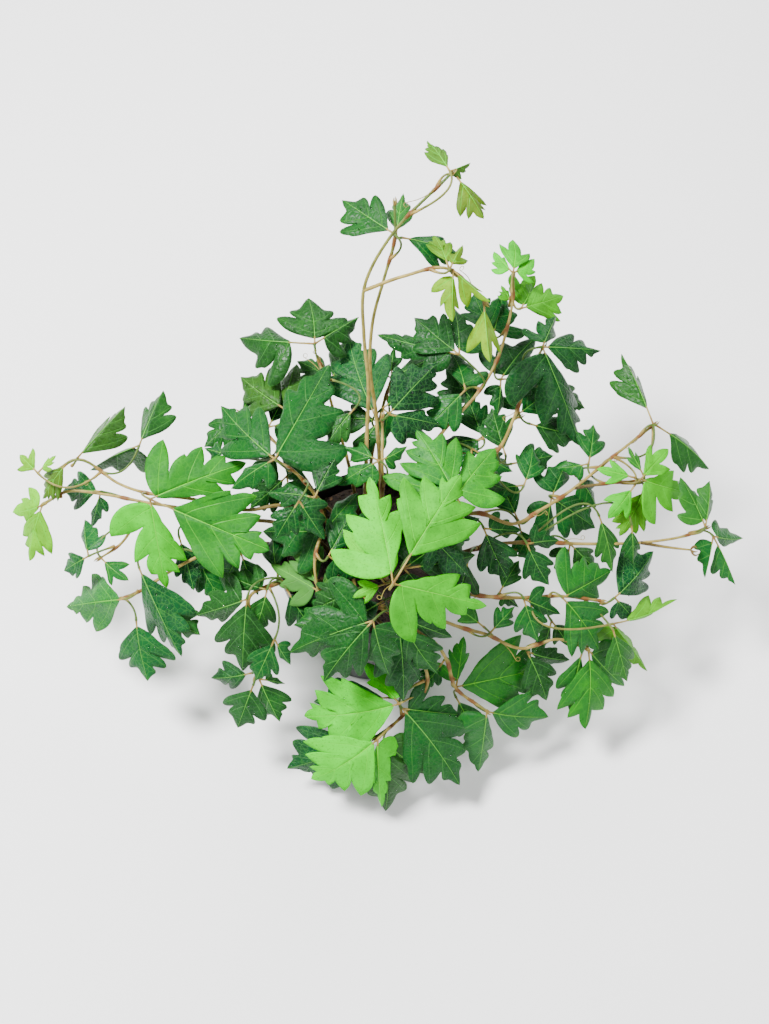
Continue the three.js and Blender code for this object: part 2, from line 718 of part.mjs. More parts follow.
// How many points of a petiole come close to a blade: of its own leaf only well before the joint.
function brushes(curve, leaf, leaves) {
  let count = 0;
  curve.getSpacedPoints(10).forEach((point, i) => {
    const place = seen(point);
    const name = cellName(place);
    for (const other of leaves) {
      const found = other === leaf && i > 6 ? undefined : other.cells.get(name);
      if (found && place.out > found[0] - CLEARANCE && place.out < found[1] + CLEARANCE) {
        count += other.stem === leaf.stem ? 0.6 : 1;
      }
    }
  });
  return count;
}

const SAGS = [2, 5, 9, 14];
const REACHES_BEHIND = [0.5, 0.8, 1.2, 1.7];
const STRAIGHT_ARRIVAL = 0.7;
const STRAIGHT_BEND = 0.2;
const KINK_COST = 16;
const LENGTH_COST = 0.03;
const STEM_FOOT = 6;
const SHORTEST_PETIOLE = 9;
const PETIOLE_SHAPES = SAGS.flatMap((sag) => REACHES_BEHIND.map((reachBehind) => [sag, reachBehind]));

// Petioles leave a stem well above the peat.
function aboveFoot(point) {
  return point.z > PEAT_TOP + STEM_FOOT || Math.hypot(point.x, point.y) > POT_TOP_RADIUS;
}

function choosePetiole(leaf, stem, leaves) {
  let best = null;
  for (const curve of stem.curves) {
    const rings = curve.getSpacedPoints(stemSteps(curve));
    const middles = rings.slice(1).map((ring, i) => ring.clone().lerp(rings[i], 0.5));
    for (const start of [...rings, ...middles].filter(aboveFoot)) {
      const reach = start.distanceTo(leaf.pose.joint);
      if (reach < SHORTEST_PETIOLE) {
        continue;
      }
      for (const [sag, reachBehind] of PETIOLE_SHAPES) {
        const petiole = petioleCurve(start, leaf, sag, reachBehind);
        const cost = brushes(petiole, leaf, leaves) + kink(petiole, leaf) * KINK_COST
          + (reach + sag) * LENGTH_COST;
        if (!best || cost < best.cost - 1e-6) {
          best = { cost, petiole };
        }
      }
    }
  }
  return best.petiole;
}

// ---- Solids ----

function solidOf(geometry) {
  geometry.deleteAttribute('normal');
  geometry.deleteAttribute('uv');
  const merged = mergeVertices(geometry, 1e-4);
  const vertProperties = new Float32Array(merged.attributes.position.array);
  const triVerts = new Uint32Array(merged.index.array);
  const solid = new wasm.Manifold(new wasm.Mesh({ numProp: 3, vertProperties, triVerts }));
  if (solid.volume() > 0) {
    return solid;
  }
  for (let i = 0; i < triVerts.length; i += 3) {
    [triVerts[i], triVerts[i + 1]] = [triVerts[i + 1], triVerts[i]];
  }
  return new wasm.Manifold(new wasm.Mesh({ numProp: 3, vertProperties, triVerts }));
}

function geometryOf(solid) {
  const mesh = solid.getMesh();
  const geometry = new THREE.BufferGeometry();
  geometry.setAttribute('position', new THREE.BufferAttribute(new Float32Array(mesh.vertProperties), 3));
  geometry.setIndex(new THREE.BufferAttribute(new Uint32Array(mesh.triVerts), 1));
  geometry.computeVertexNormals();
  return geometry;
}

function roundSection(radius, sides) {
  const points = [];
  for (let i = 0; i < sides; i += 1) {
    const turn = (2 * Math.PI * i) / sides;
    points.push(new THREE.Vector2(radius * Math.cos(turn), radius * Math.sin(turn)));
  }
  return new THREE.Shape(points);
}

function tubeSolid(curve, radius, sides, steps) {
  const section = roundSection(radius, sides);
  const options = { steps, bevelEnabled: false, extrudePath: curve };
  return solidOf(new THREE.ExtrudeGeometry(section, options));
}

// A thin sheet with two faces split into triangles alike. Each of its places is a pair of points,
// one on each face, and its edge is walled where a side of a triangle has no neighbour.
class Sheet {
  constructor() {
    this.points = [];
    this.triangles = [];
  }

  add(upper, lower) {
    this.points.push(upper, lower);
    return this.points.length / 2 - 1;
  }

  triangle(a, b, c) {
    this.triangles.push([a, b, c]);
  }

  quad(a, b, c, d) {
    this.triangle(a, b, c);
    this.triangle(a, c, d);
  }

  geometry() {
    const sides = new Set();
    const index = [];
    for (const [a, b, c] of this.triangles) {
      index.push(2 * a, 2 * b, 2 * c, 2 * c + 1, 2 * b + 1, 2 * a + 1);
      [[a, b], [b, c], [c, a]].forEach(([from, to]) => sides.add(`${from},${to}`));
    }
    for (const side of sides) {
      const [from, to] = side.split(',').map(Number);
      if (!sides.has(`${to},${from}`)) {
        index.push(2 * to, 2 * from, 2 * from + 1, 2 * to, 2 * from + 1, 2 * to + 1);
      }
    }
    const geometry = new THREE.BufferGeometry();
    const positions = this.points.flatMap((point) => point.toArray());
    geometry.setAttribute('position', new THREE.Float32BufferAttribute(positions, 3));
    geometry.setIndex(index);
    return geometry;
  }
}

// Adds a leaflet to the sheet, from the two places of the hub that its stalk starts at.
function addLeaflet(sheet, leaflet, hubLeft, hubRight) {
  const { left, right, ribs } = leaflet.outline;
  const [baseLeft, baseRight] = addCrossing(sheet, leaflet.base, leaflet.side, leaflet.normal,
    PETIOLE_WIDTH, BLADE_THICKNESS);
  sheet.quad(hubLeft, hubRight, baseRight, baseLeft);
  const place = ([along, side]) => ({
    flat: new THREE.Vector2(along, side),
    at: sheet.add(
      bladePoint(leaflet, along, side, BLADE_THICKNESS / 2),
      bladePoint(leaflet, along, side, -BLADE_THICKNESS / 2),
    ),
  });
  const halfBase = PETIOLE_WIDTH / 2 / leaflet.length;
  const leftBase = { flat: new THREE.Vector2(0, halfBase), at: baseLeft };
  const rightBase = { flat: new THREE.Vector2(0, -halfBase), at: baseRight };
  const rib = ribs.map((along) => place([along, 0]));
  const tip = place([1, 0]);
  const loops = [
    [leftBase, ...left.map(place), tip, ...rib.slice().reverse()],
    [rightBase, ...rib, tip, ...right.map(place).reverse()],
  ];
  sheet.triangle(baseLeft, baseRight, rib[0].at);
  for (const loop of loops) {
    for (const [i, j, k] of THREE.ShapeUtils.triangulateShape(loop.map(({ flat }) => flat), [])) {
      const [p, q, r] = [loop[i].flat, loop[j].flat, loop[k].flat];
      const turn = (q.x - p.x) * (r.y - p.y) - (r.x - p.x) * (q.y - p.y);
      const corners = turn > 0 ? [i, j, k] : [i, k, j];
      sheet.triangle(...corners.map((corner) => loop[corner].at));
    }
  }
}

// Two places across a strip, left and right of its middle as it is seen looking along it.
function addCrossing(sheet, middle, side, up, width, thickness) {
  return [0.5, -0.5].map((half) => {
    const place = middle.clone().addScaledVector(side, half * width);
    return sheet.add(
      place.clone().addScaledVector(up, thickness / 2),
      place.clone().addScaledVector(up, -thickness / 2),
    );
  });
}

// Adds the petiole to the sheet as a strip, from the back of the hub down into the stem.
function addPetiole(sheet, petiole, side, back) {
  let across = side;
  let last = back;
  const middles = petiole.getPoints(PETIOLE_STEPS);
  for (let i = PETIOLE_STEPS - 1; i >= 0; i -= 1) {
    const along = middles[i + 1].clone().sub(middles[Math.max(0, i - 1)]).normalize();
    across = across.clone().addScaledVector(along, -across.dot(along)).normalize();
    const up = along.clone().cross(across);
    const width = i > 0 ? PETIOLE_WIDTH : PETIOLE_FOOT;
    const thickness = i > 0 ? PETIOLE_THICKNESS : PETIOLE_FOOT;
    const next = addCrossing(sheet, middles[i], across, up, width, thickness);
    sheet.quad(next[0], next[1], last[1], last[0]);
    last = next;
  }
}

// A whole leaf: a sheet of the joint, its leaflets and its petiole down into the stem.
// A petiole that turns sharply is a body of its own, joined to the sheet.
function leafSolid(leaf) {
  const sheet = new Sheet();
  const { joint, normal, leaflets } = leaf.pose;
  const [endLeaflet] = leaflets;
  const forward = endLeaflet.forward;
  const side = normal.clone().cross(forward).normalize();
  const half = PETIOLE_WIDTH / 2;
  const front = addCrossing(sheet, joint.clone().addScaledVector(forward, half), side, normal,
    PETIOLE_WIDTH, BLADE_THICKNESS);
  const back = addCrossing(sheet, joint.clone().addScaledVector(forward, -half), side, normal,
    PETIOLE_WIDTH, BLADE_THICKNESS);
  sheet.quad(back[0], back[1], front[1], front[0]);
  addLeaflet(sheet, endLeaflet, front[0], front[1]);
  for (const leaflet of leaflets.slice(1)) {
    if (leaflet.kind === 1) {
      addLeaflet(sheet, leaflet, back[0], front[0]);
    } else {
      addLeaflet(sheet, leaflet, front[1], back[1]);
    }
  }
  if (kink(leaf.petiole, leaf) === 0) {
    addPetiole(sheet, leaf.petiole, side, back);
    return solidOf(sheet.geometry());
  }
  const path = new THREE.CurvePath();
  path.add(new THREE.LineCurve3(leaf.petiole.getPoint(0), leaf.petiole.getPoint(0.5)));
  path.add(new THREE.LineCurve3(leaf.petiole.getPoint(0.5), joint));
  const petiole = tubeSolid(path, PETIOLE_WIDTH / 2, PETIOLE_SIDES, PETIOLE_STEPS);
  return solidOf(sheet.geometry()).add(petiole);
}

function leafyStemSolid(stem) {
  let solid = null;
  const join = (piece) => {
    solid = solid ? solid.add(piece) : piece;
  };
  for (const curve of stem.curves) {
    join(tubeSolid(curve, STEM_RADIUS, STEM_SIDES, stemSteps(curve)));
  }
  for (const leaf of stem.leaves) {
    join(leafSolid(leaf));
  }
  return solid;
}

// ---- Pot and peat ----

function lathe(profile, sides) {
  const points = profile.map(([radius, height]) => new THREE.Vector2(radius, height));
  const geometry = new THREE.LatheGeometry(points, sides);
  geometry.rotateX(Math.PI / 2);
  return geometry;
}

const wallSlope = (POT_TOP_RADIUS - RIM_BAND_STEP - POT_BASE_RADIUS) / POT_HEIGHT;
const outerRadius = (height) => POT_BASE_RADIUS + wallSlope * height;

function potSolid() {
  const bandBottom = POT_HEIGHT - RIM_BAND_HEIGHT;
  const profile = [
    [0, 0],
    [outerRadius(0), 0],
    [outerRadius(bandBottom), bandBottom],
    [outerRadius(bandBottom) + RIM_BAND_STEP, bandBottom + 0.8],
    [POT_TOP_RADIUS, POT_HEIGHT],
    [POT_TOP_RADIUS - POT_WALL, POT_HEIGHT],
    [outerRadius(bandBottom) - POT_WALL + RIM_BAND_STEP * 0.5, bandBottom + 2.5],
    [outerRadius(bandBottom) - POT_WALL, bandBottom],
    [outerRadius(POT_FLOOR) - POT_WALL, POT_FLOOR],
    [0, POT_FLOOR],
  ];
  let solid = solidOf(lathe(profile, POT_SIDES));
  for (let i = 0; i < DRAIN_HOLES; i += 1) {
    const turn = (2 * Math.PI * i) / DRAIN_HOLES;
    const cutter = new THREE.CylinderGeometry(DRAIN_RADIUS, DRAIN_RADIUS, 4 * POT_FLOOR, 8);
    cutter.rotateX(Math.PI / 2);
    cutter.translate(DRAIN_RING_RADIUS * Math.cos(turn), DRAIN_RING_RADIUS * Math.sin(turn), POT_FLOOR / 2);
    solid = solid.subtract(solidOf(cutter));
  }
  return solid;
}

// Peat: a plug of the pot's inner shape with a rough top, bark chips sunk into it and stem holes.
function peatSolid(stems) {
  const bottom = POT_FLOOR + SEAT_GAP;
  const flatOfWall = Math.cos(Math.PI / POT_SIDES);
  const inner = (height) => (outerRadius(height) - POT_WALL) * flatOfWall - SEAT_GAP;
  const profile = [[0, bottom], [inner(bottom), bottom], [inner(PEAT_TOP - 4), PEAT_TOP - 4]];
  for (let i = PEAT_RINGS; i >= 0; i -= 1) {
    profile.push([(inner(PEAT_TOP) * i) / PEAT_RINGS, PEAT_TOP]);
  }
  const plug = lathe(profile, PEAT_SIDES);
  const position = plug.attributes.position;
  for (let i = 0; i < position.count; i += 1) {
    const x = position.getX(i);
    const y = position.getY(i);
    const edge = Math.hypot(x, y) / inner(PEAT_TOP);
    if (position.getZ(i) > PEAT_TOP - 1 && edge < 0.97) {
      const rough = Math.sin(0.31 * x + 1.3) * Math.cos(0.27 * y) + 0.6 * Math.sin(0.53 * y - 0.2 * x);
      position.setZ(i, PEAT_TOP + PEAT_BUMP * rough);
    }
  }
  let solid = solidOf(plug);
  for (let i = 0; i < CHIP_COUNT; i += 1) {
    const turn = i * 2.4;
    const ring = 14 + 30 * Math.sqrt((i + 0.5) / CHIP_COUNT);
    const chip = new THREE.BoxGeometry(9 + 3 * draw(i, 51), 5 + 1.5 * draw(i, 52), 3);
    chip.rotateX(0.3 * draw(i, 53));
    chip.rotateZ(3 * draw(i, 54));
    chip.translate(ring * Math.cos(turn), ring * Math.sin(turn), PEAT_TOP + 0.4);
    solid = solid.add(solidOf(chip));
  }
  for (const stem of stems) {
    const radius = STEM_RADIUS + HOLE_CLEARANCE;
    const depth = ROOT_DEPTH + SEAT_GAP;
    const cutter = new THREE.CylinderGeometry(radius, radius, depth + 10, 6);
    cutter.rotateX(Math.PI / 2);
    cutter.translate(stem.hole[0], stem.hole[1], PEAT_TOP - depth + (depth + 10) / 2);
    solid = solid.subtract(solidOf(cutter));
  }
  return solid;
}

// ---- The plant, put together ----

const stems = LEAFY_STEMS.map((data, stemNumber) => {
  const stem = { name: data.name, hole: data.hole };
  const main = mainCurve(data.hole, data.route);
  stem.curves = [main, ...data.branches.map((branch) => branchCurve(branch, main))];
  stem.leaves = data.leaves.map((place, i) => ({ place, number: MOST_LEAVES * stemNumber + i + 1, stem }));
  return stem;
});
settle(stems);
const allLeaves = stems.flatMap((stem) => stem.leaves);
for (const leaf of allLeaves) {
  leaf.petiole = choosePetiole(leaf, leaf.stem, allLeaves);
}

const finish = (color, roughness) => new THREE.MeshStandardMaterial({ color, roughness, metalness: 0 });

function addPiece(group, name, solid, material) {
  const mesh = new THREE.Mesh(geometryOf(solid), material);
  mesh.name = name;
  group.add(mesh);
}

const group = new THREE.Group();
addPiece(group, 'pot', potSolid(), finish(0x17181a, 0.55));
addPiece(group, 'peat', peatSolid(stems), finish(0x2a1c12, 0.95));
for (const stem of stems) {
  addPiece(group, stem.name, leafyStemSolid(stem), finish(0x2f7d3a, 0.45));
}

export default group;
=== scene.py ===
"""Looks of a potted grape ivy, in metres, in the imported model's frame.

The plant's layout is worked out in millimetres on a drawing board that leans back through the
middle of the pot's rim, as in the part. Each leafy stem is then swept and bladed in finer form.
"""
import math

import bmesh
import bpy
import numpy as np
from mathutils import Matrix, Vector


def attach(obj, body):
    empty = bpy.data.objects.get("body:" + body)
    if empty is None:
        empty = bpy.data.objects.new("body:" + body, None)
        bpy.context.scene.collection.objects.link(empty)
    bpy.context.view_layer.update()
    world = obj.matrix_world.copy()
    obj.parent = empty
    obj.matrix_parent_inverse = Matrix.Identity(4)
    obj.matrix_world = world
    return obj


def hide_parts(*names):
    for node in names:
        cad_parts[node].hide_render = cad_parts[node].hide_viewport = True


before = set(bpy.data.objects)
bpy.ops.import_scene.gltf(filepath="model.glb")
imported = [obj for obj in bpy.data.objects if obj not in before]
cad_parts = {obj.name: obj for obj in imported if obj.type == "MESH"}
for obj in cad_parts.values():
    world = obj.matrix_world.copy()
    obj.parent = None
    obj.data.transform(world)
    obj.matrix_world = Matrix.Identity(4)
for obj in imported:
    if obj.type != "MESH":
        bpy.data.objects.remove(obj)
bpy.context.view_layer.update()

MM = 0.001

# ---- Pot and peat, in millimetres ----
POT_HEIGHT = 110
POT_TOP_RADIUS = 60
POT_BASE_RADIUS = 43
POT_WALL = 1.4
POT_FLOOR = 2.2
POT_SIDES = 96
SHARP_CREASE = math.radians(38)
RIM_BAND_HEIGHT = 15
RIM_BAND_STEP = 1.8
DRAIN_HOLES = 6
DRAIN_RING_RADIUS = 27
DRAIN_RADIUS = 4.5
DRAIN_SIDES = 28
DRILL_LENGTH = 20
PEAT_TOP = POT_HEIGHT - 11

# ---- Stems and leaves, in millimetres, and in parts of a leaflet's length ----
STEM_RADIUS = 1.5
STEM_STEP = 22
CURVE_SAMPLES = 200
CENTRIPETAL = 0.25
ROOT_HEIGHTS = (-20, -3, 8)
MOST_LEAVES = 12
BLADE_THICKNESS = 0.5
END_LEAFLET_STALK = 0.2
SIDE_LEAFLET_STALK = 0.06
SHORTEST_STALK = 4
END_LEAFLET_LEAN = 0.14
SIDE_LEAFLET_LEAN = 0.34
LARGE_BLADE = 50
SMALL_BLADE = 26
USUAL_CAST = 0.25
USUAL_SAG = 2
USUAL_BEHIND = 0.5
# How a blade bends, the usual and the spread: cupped for the end, left and right leaflets.
DROOP = (0.1, 0.08)
CUPPED = ((0.06, 0.06), (0.02, 0.1), (0.02, 0.1))
TWISTS = (0, 0.16, -0.16)
RIPPLE = 0.03
RIPPLE_TURNS = 7
MIDRIB_REACH = 0.25

# ---- Draws: what each is for. Some count on from here, for each leaflet, place or phase ----
DRAW_TURNS = (12.9898, 78.233)
DRAW_STRETCH = 43758.5453
FOR_LEAN_ACROSS, FOR_LEAN_UP = 1, 2
FOR_DROOP, FOR_CUP, FOR_RIPPLE = 11, 21, 31
FOR_BAY, FOR_PLACE_ALONG, FOR_PLACE_ASIDE, FOR_TEETH, FOR_LOBE = 21, 41, 61, 47, 48
FOR_CURL, FOR_PHASE, FOR_FOLD, FOR_HOOK = 81, 82, 86, 87
FOR_TONE, FOR_WETNESS, FOR_CAST = 91, 92, 94
FOR_TENDRIL, FOR_TENDRIL_SIDE, FOR_TENDRIL_LENGTH = 97, 98, 99

# ---- The drawing board: a place on it is across, up, and out towards the eye ----
BOARD_ELEVATION = math.radians(60)
EYE_DISTANCE = 1000
EYE_ACROSS = 9.4
EYE_UP = 24.7
ACROSS = np.array((1.0, 0.0, 0.0))
UP = np.array((0.0, math.sin(BOARD_ELEVATION), math.cos(BOARD_ELEVATION)))
OUT = np.array((0.0, -math.cos(BOARD_ELEVATION), math.sin(BOARD_ELEVATION)))
BOARD_CENTRE = np.array((0.0, 0.0, POT_HEIGHT))
EYE = BOARD_CENTRE + EYE_ACROSS * ACROSS + EYE_UP * UP + EYE_DISTANCE * OUT

# The bush swells out from the board as a low mound, and its leaves lean away from its middle.
MOUND_HEIGHT = 62
MOUND_CENTRE = (5, 20)
MOUND_REACH = (130, 100)
OUTWARD_LEAN = 420
LEAN_WOBBLE = 0.1

# The finished margins, from base to tip: along, to the side, where the vein of that place leaves
# the midrib, the place's number, and how far the margin swells on its way there. The veins run to
# whole numbers, which are the tips of lobes, and halves are the bays between them.
MARGINS = {
    "end": [
        (0.0, 0.014, 0.0, 0.5, 0), (0.13, 0.13, 0.01, 0.6, 0.02), (0.3, 0.27, 0.03, 0.7, 0.03),
        (0.45, 0.385, 0.06, 0.8, 0.05), (0.475, 0.365, 0.07, 0.84, 0),
        (0.695, 0.435, 0.12, 1.0, 0.12), (0.545, 0.155, 0.32, 1.5, 0.07),
        (0.82, 0.29, 0.4, 2.0, 0.14), (0.775, 0.115, 0.58, 2.5, 0.05),
        (0.9, 0.15, 0.64, 3.0, 0.12), (0.885, 0.07, 0.78, 3.4, 0.02), (1.02, 0.0, 0.97, 3.9, 0.12),
    ],
    "outer": [
        (0.0, 0.014, 0.0, 0.5, 0), (-0.03, 0.15, 0.0, 0.6, 0.08), (0.03, 0.38, 0.0, 0.75, 0.08),
        (0.15, 0.48, 0.01, 0.85, 0.06), (0.33, 0.52, 0.03, 1.0, 0.08),
        (0.262, 0.2, 0.16, 1.5, 0.08), (0.47, 0.3, 0.24, 1.8, 0.12), (0.48, 0.27, 0.28, 1.85, 0),
        (0.66, 0.31, 0.36, 2.0, 0.12), (0.605, 0.165, 0.5, 2.5, 0.05),
        (0.84, 0.15, 0.6, 3.0, 0.13), (0.83, 0.075, 0.75, 3.4, 0.02), (1.02, 0.0, 0.97, 3.9, 0.12),
    ],
    "inner": [
        (0.0, 0.014, 0.0, 0.5, 0), (0.2, 0.09, 0.04, 0.6, 0.05), (0.42, 0.17, 0.14, 0.8, 0.05),
        (0.685, 0.25, 0.3, 1.0, 0.05), (0.655, 0.12, 0.48, 1.5, 0.05),
        (0.83, 0.165, 0.56, 2.0, 0.13), (0.825, 0.07, 0.7, 2.5, 0.02), (1.02, 0.0, 0.97, 2.9, 0.12),
    ],
}
# The numbers of the lesser teeth and lobes. Small blades have none of them, and some of the
# larger ones have no teeth or no third lobe.
LESSER_TEETH = {"end": (0.8, 0.84), "outer": (1.8, 1.85), "inner": ()}
LESSER_LOBES = {"end": (3.0, 3.4), "outer": (3.0, 3.4), "inner": (2.0, 2.5)}
SECOND_LOBE = {"end": (2.0, 2.5), "outer": (), "inner": ()}


def leaf(*places, **told):
    """A leaf in the table below, which the class Leaf reads."""
    return places, told


